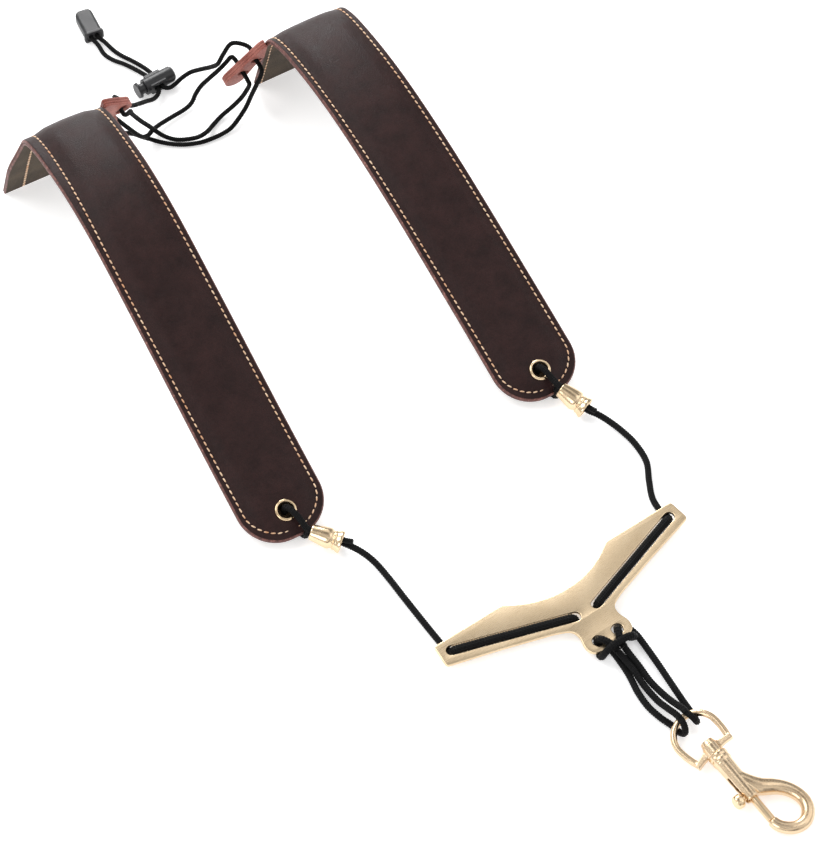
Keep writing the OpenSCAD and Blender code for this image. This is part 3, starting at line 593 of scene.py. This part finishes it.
LACE_OUT = [tl(12.6, MID_T), tl(12.6, -3.6), (-27, 334.4, 49.6), (-22.5, 340, 43),
            (-19.6, 344, 35), (-13.1, 347.2, 22), (-7.3, 348.8, 12), (-3.7, 348.3, 6),
            (-0.6, 345.6, 2.6), (3.3, 341.4, 1.5), (8.2, 338, 1.6), (13.2, 334.4, 3.6),
            (19, 334.9, 3.4), (25, 338.3, 1.6), (32.1, 340.7, 2), (39, 341.1, 4),
            (43.7, 339.6, 9), (46, 337.4, 15.5), (46.8, 335.2, 22), tr(19, -5), tr(19, MID_T)]
LACE_IN = [lobe(MID_T), lobe(-5), (-34, 337.6, 36.4), (-27, 343, 26), (-18.4, 346.9, 15.6),
           (-13, 348.2, 8.4), (-8.1, 348.4, 3), (-4.4, 344.9, 1.5), (0.3, 339.8, 1.4),
           (5.7, 335.6, 1.4), (12.9, 332.2, 1.4), (19.3, 330.9, 1.4), (25.2, 330.4, 1.5),
           (31.2, 330.7, 2), (37.6, 332.5, 4), (42.6, 333, 9), (45.9, 332.6, 16), (48.8, 331, 25),
           (51.6, 330.6, 31), tr(8, -5.5), tr(8, MID_T)]
LACE_DIA = [tr(19, MID_T), tr(19, 6.5), (46.2, 350.4, 30.2), (42.6, 350.6, 28), (38.6, 351.6, 24),
            (35.4, 354.6, 18), (30.5, 357.5, 11), (27.2, 358.2, 6), (23.8, 356.9, 3),
            (18.7, 355.8, 2), (10, 355.1, 2.2), (1.8, 353.9, 3), (-4, 351.8, 4.4),
            (-10.4, 347, 8.5), (-17, 342.7, 17), (-24, 345, 28), (-31, 350.4, 39), lobe(8),
            lobe(MID_T)]

cord("lace_outer_run", LACE_OUT, "harness", "lace_outer", diameter=LACE_D, far_end="object")
cord("lace_inner_run", LACE_IN, "harness", "lace_inner", diameter=LACE_D, far_end="object")
cord("lace_diagonal_run", LACE_DIA, "harness", "lace_diagonal", diameter=LACE_D, far_end="object")
for side, low, up, reach in (("left", TAIL_L_LOW, TAIL_L_UP, (-6, 358, 20)),
                             ("right", TAIL_R_LOW, TAIL_R_UP, (38, 357, 22))):
    cord(f"tail_{side}_low", low[::-1], ("lock", "harness", at((15, 373, 4)), at(reach)),
         diameter=LACE_D, far_end="object")
    cord(f"tail_{side}_up", up[::-1], ("harness", "lock", at((8, 421, 3)), at((14, 388, 3))),
         f"tail_cord_{side}", diameter=LACE_D, far_end="fitting", with_pieces=["cord_end_shell"])


# ---------------------------------------------------------------- shapes
def rounded(points, radius, steps=4, closed=True):
    """A flat outline with each corner turned into a short curve."""
    points = [Vector(p) for p in points]
    count = len(points)
    out = []
    for i, corner in enumerate(points):
        if not closed and i in (0, count - 1):
            out.append(corner)
            continue
        a, b = points[i - 1] - corner, points[(i + 1) % count] - corner
        reach_a, reach_b = min(radius, a.length * 0.45), min(radius, b.length * 0.45)
        a, b = corner + a.normalized() * reach_a, corner + b.normalized() * reach_b
        for k in range(steps + 1):
            t = k / steps
            out.append(a * (1 - t) ** 2 + corner * 2 * t * (1 - t) + b * t * t)
    return [tuple(p) for p in out]


def across(direction):
    """A unit axis and two directions square to it."""
    direction = Vector(direction).normalized()
    side = direction.orthogonal().normalized()
    return direction, side, direction.cross(side)


def lathe(name, profile, origin, direction, material, segments=80, closed=True):
    """A profile of (radius, distance along) turned about an axis; millimetres in, metres out."""
    direction, side, up = across(direction)
    count = len(profile)
    verts = []
    for k in range(segments):
        a = 2 * math.pi * k / segments
        out = side * math.cos(a) + up * math.sin(a)
        verts += [at(Vector(origin) + direction * s + out * r) for r, s in profile]
    mesh = bpy.data.meshes.new(name)
    last = count if closed else count - 1
    faces = [(k * count + i, k * count + (i + 1) % count,
              (k + 1) % segments * count + (i + 1) % count, (k + 1) % segments * count + i)
             for k in range(segments) for i in range(last)]
    mesh.from_pydata(verts, [], faces)
    return link(name, tidy(mesh), material)


def tidy(mesh, angle=35, near=0.000002):
    """Joined points, outward faces, smooth shading with the true edges kept."""
    work = bmesh.new()
    work.from_mesh(mesh)
    bmesh.ops.remove_doubles(work, verts=work.verts, dist=near)
    bmesh.ops.recalc_face_normals(work, faces=work.faces)
    work.to_mesh(mesh)
    work.free()
    soften(mesh, angle)
    return mesh


def applied(piece):
    """The piece with its modifiers worked into its mesh."""
    graph = bpy.context.evaluated_depsgraph_get()
    mesh = bpy.data.meshes.new_from_object(piece.evaluated_get(graph))
    piece.modifiers.clear()
    old = piece.data
    piece.data = mesh
    if old.users == 0:
        bpy.data.meshes.remove(old)
    return piece


def cast(node_name, material, voxel=0.25, rounds=6, slot="gold_cast"):
    """A cast or moulded piece: the CAD node with its edges and joins run together."""
    source = frame["nodes"][node_name]
    body = source["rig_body"]
    mesh = source.data.copy()
    mesh.materials.clear()
    piece = link(f"{node_name}_form", mesh, material)
    work = bmesh.new()
    work.from_mesh(mesh)
    bmesh.ops.remove_doubles(work, verts=work.verts, dist=0.00001)
    work.to_mesh(mesh)
    work.free()
    remesh = piece.modifiers.new("skin", "REMESH")
    remesh.mode = "VOXEL"
    remesh.voxel_size = voxel * MM
    ease = piece.modifiers.new("ease", "SMOOTH")
    ease.factor = 0.5
    ease.iterations = rounds
    applied(piece)
    soften(piece.data, 60)
    return stand_for(piece, slot, body, node_name)


def cut_sheet(name, outlines, thick, bevel, material, move):
    """A flat sheet of outlines, holes among them, with soft rims; move places each point."""
    curve = bpy.data.curves.new(name, "CURVE")
    curve.dimensions = "2D"
    curve.fill_mode = "BOTH"
    curve.extrude = (thick / 2 - bevel) * MM
    curve.bevel_depth = bevel * MM
    curve.bevel_resolution = 3
    curve.offset = -bevel * MM
    for outline in outlines:
        spline = curve.splines.new("POLY")
        spline.points.add(len(outline) - 1)
        spline.use_cyclic_u = True
        for point, p in zip(spline.points, outline):
            point.co = (p[0] * MM, p[1] * MM, 0, 1)
    shape = bpy.data.objects.new(name, curve)
    bpy.context.scene.collection.objects.link(shape)
    graph = bpy.context.evaluated_depsgraph_get()
    mesh = bpy.data.meshes.new_from_object(shape.evaluated_get(graph))
    bpy.data.objects.remove(shape)
    bpy.data.curves.remove(curve)
    for vertex in mesh.vertices:
        vertex.co = at(move(vertex.co / MM))
    return link(name, tidy(mesh, 40), material)


def oblong(cx, cy, half_x, half_y, angle=0, count=32):
    """Two half circles with straight sides between them, the long way along x before the turn."""
    reach = half_x - half_y
    out = []
    for k in range(count):
        a = 2 * math.pi * (k + 0.5) / count
        x = half_y * math.cos(a) + math.copysign(reach, math.cos(a))
        y = half_y * math.sin(a)
        dx, dy = turned(x, y, angle)
        out.append((cx + dx, cy + dy))
    return out


# ---------------------------------------------------------------- shoulder pads
# Each pad's inner face from the side, as (y, z) in the pad's axes, front end first.
KEYS_L = [(-242, 3.8), (-185, 24.2), (-123, 49), (-80, 64.6), (-50, 70.2), (-24, 69.6), (-9, 66.4),
          (-1, 61.4), (3.2, 53.5), (8.8, 39), (23.8, 0.3)]
KEYS_R = [(-242, 3.8), (-185, 23.4), (-123, 43.4), (-80, 53.6), (-50, 57.2), (-24, 56.6), (-10, 53.6),
          (-3, 48.8), (0.6, 41.6), (4.4, 30), (14.2, 0.3)]
EYELET_BACK = 13.5                  # the eyelet's place, back from the front end
EYELET_CUT_R = 3.2                  # the round hole in the leather for it
FLARE_X, FLARE_WIDE = 15, 7.5       # the strip of a flared edge, out from the middle line
FLARE_S, FLARE_LONG = 66, 40        # where it starts, from the cut end, and how soon it is full
BEND_R = 1.3                        # the cover's turned edge
GROOVE_DEEP, GROOVE_WIDE = 0.34, 0.55
CREASE = 0.10


def ease(t):
    """A smooth step from 0 to 1."""
    t = min(1, max(0, t))
    return t * t * (3 - 2 * t)


class Arch:
    """A pad's inner face, in its own axes: x across, s along from the front end."""

    def __init__(self, pose, keys, flare=0.0):
        self.pose = pose
        self.flare = flare
        self.run = spaced(smooth([(0, y, z) for y, z in keys], 24), 1.0)
        self.total = length(self.run)
        self.step = self.total / (len(self.run) - 1)

    def point(self, x, s, off):
        """A point of the pad, off from its inner face, in the tables' axes."""
        i = min(len(self.run) - 2, max(0, int(s / self.step)))
        part = s / self.step - i
        here = self.run[i].lerp(self.run[i + 1], part)
        before, after = self.run[max(i - 1, 0)], self.run[min(i + 2, len(self.run) - 1)]
        along = (after - before).normalized()
        if x < 0:
            out = ease((-x - FLARE_X) / FLARE_WIDE)
            x -= self.flare * out * ease((s - self.total + FLARE_S) / FLARE_LONG)
        return on_pad(self.pose, x, here.y - along.z * off, here.z + along.y * off)


def stations(arch, step=1.6):
    """Places along a pad's edge, from one cut end round the front to the other."""
    count = round((arch.total - TIP_R) / step)
    side = [("side", TIP_R + (arch.total - TIP_R) * k / count) for k in range(count, 0, -1)]
    corner = [("corner", 6 * k) for k in range(0, 16)]
    left = [(kind, value, -1) for kind, value in side + corner]
    front = [("front", t, 1) for t in (-0.5, 0, 0.5)]
    return left + front + [(kind, value, 1) for kind, value, _ in reversed(left)]


def spot(station, d):
    """Across and along for a point set in by d from the edge at a station."""
    kind, value, sign = station
    half = PAD_W / 2
    if kind == "side":
        return sign * (half - d), value
    flat = half - TIP_R
    if kind == "front":
        return value * min(flat, half - d), min(d, TIP_R)
    if d >= TIP_R:
        return sign * (half - d), TIP_R
    a = math.radians(value)
    return sign * (flat + (TIP_R - d) * math.cos(a)), TIP_R - (TIP_R - d) * math.sin(a)


def seam(s, x, arch):
    """The stitch line's distance from the edge: more round the front end and by a flare."""
    wide = 0.5 * arch.flare * ease((s - arch.total + 170) / 90) if x < 0 else 0
    return STITCH_INSET + wide + ease((TIP_R - s) / 14)


def cover_top(d, s, x, arch):
    """Height of the cover's outer face over the inner face of the pad."""
    line = seam(s, x, arch)
    left = arch.total - s
    margin = EDGE_T
    if d <= BEND_R:
        margin += math.sqrt(BEND_R ** 2 - (BEND_R - d) ** 2) - BEND_R
    groove = GROOVE_DEEP * math.exp(-((d - line) / GROOVE_WIDE) ** 2)
    fade = ease(left / 9) * (0.3 + 0.7 * ease((left - 45) / 45))
    inner = d - line + STITCH_INSET
    crown = (FOAM_T * ease((inner - 2.6) / 8.5) + 0.8 * ease((inner - 3) / 18)) * fade
    waves = math.sin(s / 17 + x / 11) * math.sin(s / 29 - x / 19)
    height = margin - groove + crown + CREASE * waves * ease((d - 3) / 10)
    near = math.exp(-((math.hypot(x, s - EYELET_BACK) / 8.5) ** 4))
    return height + (FULL_T - 0.1 - height) * near


def layer(name, arch, profile, paint_below, materials):
    """One layer of a pad, from a profile of (inset, height rule) pairs round its edge.

    Faces nearer the edge than paint_below get the second material, and so does the cut end.
    """
    places = stations(arch)
    rows = len(profile)
    verts, flat = [], []
    for station in places:
        for d, rule in profile:
            x, s = spot(station, d)
            flat.append((x, s))
            verts.append(at(arch.point(x, s, rule(d, s, x))))
    faces, paint = [], []
    for a in range(len(places) - 1):
        for i in range(rows - 1):
            quad = (a * rows + i, a * rows + i + 1, (a + 1) * rows + i + 1, (a + 1) * rows + i)
            away = min(math.hypot(flat[q][0], flat[q][1] - EYELET_BACK) for q in quad)
            if away < EYELET_CUT_R:
                continue
            faces.append(quad)
            paint.append(int(max(profile[i][0], profile[i + 1][0]) <= paint_below))
    last = (len(places) - 1) * rows
    faces.append(tuple(range(rows)) + tuple(last + i for i in range(rows - 1, -1, -1)))
    paint.append(1)
    mesh = bpy.data.meshes.new(name)
    mesh.from_pydata(verts, [], faces)
    piece = link(name, mesh, *materials)
    for face, index in zip(mesh.polygons, paint):
        face.material_index = index
    tidy(mesh, 50, 0.00001)
    return piece


def stitches(name, arch, height, pitch=3.4, long=2.5, thick=0.8, slant=7, arched=0.16):
    """Single stitches in a row round the pad, each dipping into its holes at both ends."""
    path = []
    for station in stations(arch, 1.0):
        first_x, first_s = spot(station, STITCH_INSET)
        path.append(Vector((*spot(station, seam(first_s, first_x, arch)), 0)))
    marks = spaced(path, pitch / 4)
    outward = 1 if height > 1 else -1
    verts, faces = [], []
    sides, rings = 8, 9
    for i in range(2, len(marks) - 3, 4):
        middle = marks[i]
        along = (marks[i + 1] - marks[i - 1]).normalized()
        along = Vector((*turned(along.x, along.y, slant), 0))
        out = Vector((-along.y, along.x, 0))
        first = len(verts)
        for r in range(rings):
            t = -1 + 2 * r / (rings - 1)
            fat = thick / 2 * math.sqrt(max(0.03, 1 - abs(t) ** 3.2))
            here = middle + along * (long / 2 * t)
            rise = height + arched * (1 - t * t) * outward
            for k in range(sides):
                a = 2 * math.pi * k / sides
                p = here + out * (fat * math.cos(a))
                verts.append(at(arch.point(p.x, p.y, rise + fat * 0.8 * math.sin(a))))
        faces += [(first + r * sides + k, first + r * sides + (k + 1) % sides,
                   first + (r + 1) * sides + (k + 1) % sides, first + (r + 1) * sides + k)
                  for r in range(rings - 1) for k in range(sides)]
        faces.append(tuple(first + k for k in range(sides)))
        faces.append(tuple(first + (rings - 1) * sides + k for k in range(sides)))
    mesh = bpy.data.meshes.new(name)
    mesh.from_pydata(verts, [], faces)
    return link(name, tidy(mesh, 70), THREAD)


def joined(name, *parts):
    """Several meshes as one piece, which keeps the first one's materials."""
    work = bmesh.new()
    for part in parts:
        work.from_mesh(part.data)
    mesh = bpy.data.meshes.new(name)
    work.to_mesh(mesh)
    work.free()
    materials = list(parts[0].data.materials)
    for part in parts:
        bpy.data.objects.remove(part)
    soften(mesh, 60)
    return link(name, mesh, *materials)


def shoulder_pad(side, pose, keys, flare=0.0):
    """A pad's padded cover, lining, stitches and eyelet."""
    arch = Arch(pose, keys, flare)
    half = PAD_W / 2

    def under(d, s, x):
        return LINING_T + 0.03 + 0.25 * max(0, 1 - d / 0.4)

    def over(d, s, x):
        return cover_top(d, s, x, arch)

    bottom = [(d, under) for d in (half, 16, 8, 2, 0.4, 0.1, 0)]
    top = [(d, over) for d in (0, 0.08, 0.22, 0.45, 0.75, 1.1, 1.6, 2.1, 2.5, 2.8, 3.05, 3.2,
                               3.35, 3.6, 3.9, 4.15, 4.5, 5, 5.4, 5.8, 6.8, 8, 9.4, 11, 13, 15,
                               17, 19, 21, half)]
    cover = layer(f"{side}_cover", arch, bottom + top, 0.75, (HIDE, EDGE))
    stand_for(cover, "cover_leather", "harness", f"{side}_pad_cover", f"{side}_pad_foam")

    def inner(d, s, x):
        return 0.0 if d > 0.5 else 0.5 - math.sqrt(0.25 - (0.5 - d) ** 2)

    def outer(d, s, x):
        return LINING_T - 0.04 - 0.25 * max(0, 1 - d / 0.4)

    below = [(d, inner) for d in (half, 18, 12, 7, 4, 3.2, 2.4, 1, 0.5, 0.3, 0.12, 0)]
    above = [(d, outer) for d in (0, 0.15, 0.4, 3, 10, half)]
    lining = layer(f"{side}_lining", arch, below + above, 0.5, (LINING, EDGE))
    stand_for(lining, "lining_leather", "harness", f"{side}_pad_lining")

    upper = stitches(f"{side}_stitch_top", arch, EDGE_T - 0.26)
    lower = stitches(f"{side}_stitch_under", arch, 0.02, long=2.1)
    thread_piece = joined(f"{side}_stitches", upper, lower)
    stand_for(thread_piece, "thread", "harness", f"{side}_pad_thread")

    foot = arch.point(0, EYELET_BACK, 0)
    out = arch.point(0, EYELET_BACK, 5) - foot
    ring = rounded([(2.5, -1.0), (2.5, 2.4), (2.9, 4.3), (3.7, 5.8), (4.5, 6.4), (5.2, 6.2),
                    (5.6, 5.5), (5.5, 5.05), (3.9, 4.9), (3.7, -0.9)], 0.5, 5)
    stand_for(lathe(f"{side}_eyelet_rim", ring, foot, out, POLISH),
              "gold_metal", "harness", f"{side}_eyelet")
    washer = rounded([(3.72, -0.9), (4.4, -1.0), (5.2, -0.45), (5.2, -0.05), (3.72, -0.05)], 0.3)
    stand_for(lathe(f"{side}_eyelet_back", washer, foot, out, POLISH),
              "gold_metal", "harness", f"{side}_eyelet_washer")


shoulder_pad("left", POSE_L, KEYS_L, 5.5)
shoulder_pad("right", POSE_R, KEYS_R)


# ---------------------------------------------------------------- back tabs
TAB_HOLE = (3.9, 1.7)               # half the length and half the width of a lacing hole


def tab_outline(droop, top, reach, r, has_lobe):
    """A tab in its own plane: x out from the pad's middle line, y up the slope.

    Also returns the middle of its root and the direction of its middle line.
    """
    half = PAD_W / 2
    c = Vector((math.cos(math.radians(droop)), -math.sin(math.radians(droop))))
    e = Vector((-c.y, c.x))
    root = Vector((half, top - TAB_W / 2))
    tip = root + c * reach
    start = math.atan2(e.y, e.x)
    outline = [(half + 0.1, top), (half + 3.2, top - 0.8)]
    for k in range(11):
        a = start - math.pi * k / 10
        outline.append(tuple(tip + Vector((math.cos(a), math.sin(a))) * r))
    if has_lobe:
        outline += [(half + 4.6, 10), (half + 9.4, 6.2), (half + 10.6, 2.2), (half + 9.4, -2),
                    (half + 5.4, -4.2), (half + 0.1, -4.3)]
    else:
        outline += [(half + 2.8, top - TAB_W), (half + 0.1, top - TAB_W)]
    return rounded(outline, 2.2), root, c


def back_tab(side, sign, pose, leg, droop, top, reach, r, holes, has_lobe):
    """A lacing tab of three plies of leather, with its holes."""
    outline, root, c = tab_outline(droop, top, reach, r, has_lobe)
    slots = [oblong(*(root + c * k), *TAB_HOLE, 90 - droop) for k in holes]
    if has_lobe:
        slots.append(oblong(*LOBE, *TAB_HOLE, 90))
    thick = TAB_T / 3
    plies = []
    for k in (-1, 0, 1):
        def on_ply(p, middle=MID_T + k * thick):
            return on_leg(pose, leg, sign, p.x, p.y, middle + p.z)

        plies.append(cut_sheet(f"{side}_ply_{k + 1}", [outline] + slots, thick * 0.99, 0.42, TAB,
                               on_ply))
    stand_for(joined(f"{side}_tab", *plies), "tab_leather", "harness", f"{side}_back_tab")


back_tab("left", 1, POSE_L, LEG_L, TAB_DROOP_L, TAB_TOP_L, 13.4, 5.6, TAB_HOLES_L, True)
back_tab("right", -1, POSE_R, LEG_R, TAB_DROOP_R, TAB_TOP_R, 25, 6.4, TAB_HOLES_R, False)


# ---------------------------------------------------------------- bells
def bell(side, nose, mouth):
    """A turned bell from its nose to its mouth, with the knot in it and the cord's stub."""
    outer = [(3.5, 0.0), (3.9, 0.1), (4.25, 2.5), (4.85, 5.6), (5.3, 8.6), (5.25, 10), (4.6, 10.9),
             (4.4, 11.4), (4.65, 11.9), (5.1, 12.2), (4.8, 12.9), (5.05, 13.6), (5.55, 14.5),
             (5.75, 15.6), (5.5, 16)]
    inner = [(4.9, 16), (4.15, 12.6), (4.1, 4.4), (3.5, 2.6)]
    shell = lathe(f"{side}_bell_turned", rounded(outer + inner, 0.8), nose, mouth - nose, POLISH, 96)
    stand_for(shell, "gold_metal", f"{side}_bell", f"{side}_bell")

    v, across_v, up = across(mouth - nose)
    middle = on_bell(nose, mouth, 8.4)
    loops = []
    for k in range(61):
        a = 4 * math.pi * k / 60
        r = 1.45 + 0.75 * math.cos(1.5 * a)
        out = across_v * math.cos(a) + up * math.sin(a)
        loops.append(middle + v * (2.1 * math.sin(1.5 * a)) + out * r)
    knot, _ = tube(f"{side}_knot_turns", loops, 2.5, BRAID_PAINTED_SHADE, step=0.4, sides=16)
    stub_run = [on_bell(nose, mouth, *p)
                for p in ((10, 2.6), (13, 2.65), (16, 2.7), (18.6, 3.1), (20.8, 4))]
    stub, _ = tube(f"{side}_knot_stub", stub_run, 2.8, BRAID_PAINTED_SHADE, step=0.4, sides=20)
    stand_for(joined(f"{side}_knot_tied", knot, stub), "cord", "harness", f"{side}_knot")


bell("left", NOSE_L, MOUTH_L)
bell("right", NOSE_R, MOUTH_R)


# ---------------------------------------------------------------- yoke plate
YOKE_HALF, YOKE_Z, YOKE_T, SLOT_W = 65, 3.7, 2, 5.4
SLOT_INNER = (-6.3, -19)            # the middle of a slot's inner end
HOLE, HOLE_R = (5.7, -36), 2.9


def yoke_plate():
    """The V-shaped plate, its slots and its two holes."""
    h = YOKE_HALF
    half = [(56.1 * math.sin(math.radians(a)), 57.8 - 62 * math.cos(math.radians(a)))
            for a in range(4, 33, 2)]
    half += [(h - 33.4, 6.4), (h + 4.6, 6.4), (h + 5.9, 5.8), (h + 7, -4.6), (h + 6.2, -5.9),
             (h - 20, -13.2), (h - 45, -21), (14.4, -23.4), (12.2, -25.4), (11.6, -28.4),
             (11.9, -31), (12.9, -33.8), (13.1, -36.6), (12.2, -39.4), (10.2, -41.1),
             (7.6, -41.7), (3.2, -41.7)]
    outline = [(0, -4.2)] + half + [(0, -41.9)] + [(-x, y) for x, y in reversed(half)]
    a, b = Vector((-h, 0)), Vector(SLOT_INNER)
    middle, reach = (a + b) / 2, (b - a).length / 2
    tilt = math.degrees(math.atan2(b.y - a.y, b.x - a.x))
    holes = []
    for s in (-1, 1):
        holes.append(oblong(-s * middle.x, middle.y, reach + SLOT_W / 2, SLOT_W / 2, -s * tilt, 40))
        holes.append(oblong(s * HOLE[0], HOLE[1], HOLE_R, HOLE_R, 0, 40))
    plate = cut_sheet("yoke_plate_rimmed", [rounded(outline, 1.6)] + holes, YOKE_T, 0.42, PLATE,
                      lambda p: Vector((p.x, p.y, YOKE_Z + YOKE_T / 2 + p.z)))
    stand_for(plate, "gold_plate", "yoke", "yoke_plate")


yoke_plate()


# ---------------------------------------------------------------- snap hook
BOW = Vector((1.1, -92.9, 7.4))     # the middle of the eye's bow
SNAP_DROP = 25.6 / 2 - 1.7 + 11.8   # from there to the hook's own origin
DIP = 3.2                           # degrees that the hook slopes down
SPRING_Y = -7.55


def at_snap(x, y, z=0.0):
    """A point in the snap hook's own axes, moved to the tables' axes."""
    y -= SNAP_DROP
    dy, dz = turned(y, z, DIP)
    return BOW + Vector((x, dy, dz))


SHANK = at_snap(0, 1) - at_snap(0, 0)


def spring(name, start, direction, radius, wire, turns, reach):
    """A coil spring."""
    direction, side, up = across(direction)
    keys = []
    for k in range(turns * 16 + 1):
        a = 2 * math.pi * k / 16
        s = wire / 2 + (reach - wire) * k / (turns * 16)
        keys.append(start + direction * s + (side * math.cos(a) + up * math.sin(a)) * radius)
    return tube(name, keys, wire, STEEL, step=0.25, sides=10, braid=0)[0]


cast("snap_eye", CAST, 0.22, 12)
cast("snap_body", CAST, 0.24, 22)
cast("snap_post", CAST, 0.2, 5)


def turned_bar(name, profile, radius, origin, direction, node_name):
    """A solid round piece of the snap hook, from half of its section."""
    shape = rounded(profile, radius, closed=False)
    piece = lathe(name, shape, origin, direction, POLISH, 64, closed=False)
    stand_for(piece, "gold_cast", "bolt", node_name)


turned_bar("bolt_rod", [(0.02, 0), (2, 0), (2, 19.8), (0.02, 19.8)], 0.35,
           at_snap(0, -22), -SHANK, "snap_bolt")
turned_bar("bolt_stud", [(0.02, 0), (1.25, 0), (1.25, 2.8), (2.6, 2.9), (3.35, 3.5), (3.5, 5.2),
                         (3.2, 6.6), (2.4, 7.15), (0.02, 7.2)], 0.5,
           at_snap(-1.9, -26), (-1, 0, 0), "snap_stud")
coil = spring("snap_spring_coil", at_snap(0, SPRING_Y), -SHANK, 1.5, 0.45, 8, 14.4)
stand_for(coil, "spring_steel", "snap", "snap_spring")
tuple(at(at_snap(0, SPRING_Y)))
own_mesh(coil)


# ---------------------------------------------------------------- cord lock and cord end
LOCK = Vector((17.2, 379, 4.6))
cast("lock_barrel", BLACK, 0.25, 4, "plastic")
cast("lock_button", BLACK, 0.25, 3, "plastic")
coil = spring("lock_spring_coil", LOCK + Vector((3.05, 0, 0)), (1, 0, 0), 2.2, 0.5, 4, 3.9)
stand_for(coil, "spring_steel", "lock", "lock_spring")
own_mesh(coil)
cast("cord_end_shell", BLACK, 0.25, 4, "plastic")
cast("cord_end_cap", BLACK, 0.25, 3, "plastic")


# ---------------------------------------------------------------- table, light
TABLE_HALF, TABLE_Z = 6, -0.0002


def table():
    """A white table top, bright enough to vanish into the background."""
    material, tree, skin = shader("table")
    place = object_place(tree)
    cloud = ramp(tree, noise(tree, place, 3, 4), (0.3, grey(0.90)), (0.7, grey(0.92)))
    tree.links.new(cloud, skin.inputs["Base Color"])
    skin.inputs["Roughness"].default_value = 0.9
    skin.inputs["Specular IOR Level"].default_value = 0.1
    skin.inputs["Emission Color"].default_value = (1, 1, 1, 1)
    skin.inputs["Emission Strength"].default_value = 0.42
    mesh = bpy.data.meshes.new("table")
    corners = [(x * TABLE_HALF, y * TABLE_HALF, TABLE_Z)
               for x, y in ((-1, -1), (1, -1), (1, 1), (-1, 1))]
    mesh.from_pydata(corners, [], [(0, 1, 2, 3)])
    link("table", mesh, material)


def lamp(name, place, target, size, power):
    """A soft square light aimed at a point."""
    data = bpy.data.lights.new(name, "AREA")
    data.energy = power
    data.size = size
    source = bpy.data.objects.new(name, data)
    bpy.context.scene.collection.objects.link(source)
    source.location = place
    source.rotation_euler = (Vector(target) - Vector(place)).to_track_quat("-Z", "Y").to_euler()


def sky():
    """A soft studio: bright panels with dimmer gaps between them, darker near the floor."""
    world = bpy.data.worlds.new("studio")
    world.use_nodes = True
    tree = world.node_tree
    back = tree.nodes["Background"]
    ahead = tree.nodes.new("ShaderNodeTexCoord").outputs["Generated"]
    panels = noise(tree, ahead, 2.1, 0.5)
    split = node(tree, "ShaderNodeSeparateXYZ", [("Vector", ahead)])
    height = ramp(tree, split.outputs["Z"], (0.0, grey(0.45)), (0.3, grey(1.0)), (0.8, grey(1.0)),
                  (1.0, grey(0.55)))
    light = ramp(tree, panels, (0.40, grey(0.32)), (0.56, grey(1.0)))
    both = node(tree, "ShaderNodeMix", [(6, height), (7, light)], data_type="RGBA",
                blend_type="MULTIPLY")
    both.inputs["Factor"].default_value = 1.0
    tree.links.new(both.outputs[2], back.inputs["Color"])
    back.inputs["Strength"].default_value = 0.95
    bpy.context.scene.world = world


table()
lamp("key", (-0.7, 0.9, 1.5), (0, 0.1, 0), 1.1, 11)
lamp("fill", (0.9, -0.6, 1.3), (0, 0, 0), 1.4, 6)
lamp("rim", (-1.2, -0.4, 0.7), (0, 0, 0), 0.6, 3)
lamp("sheen", (0.55, 1.45, 0.88), (0, 0.2, 0.05), 0.7, 16)
sky()
bpy.context.scene.view_settings.view_transform = "Standard"
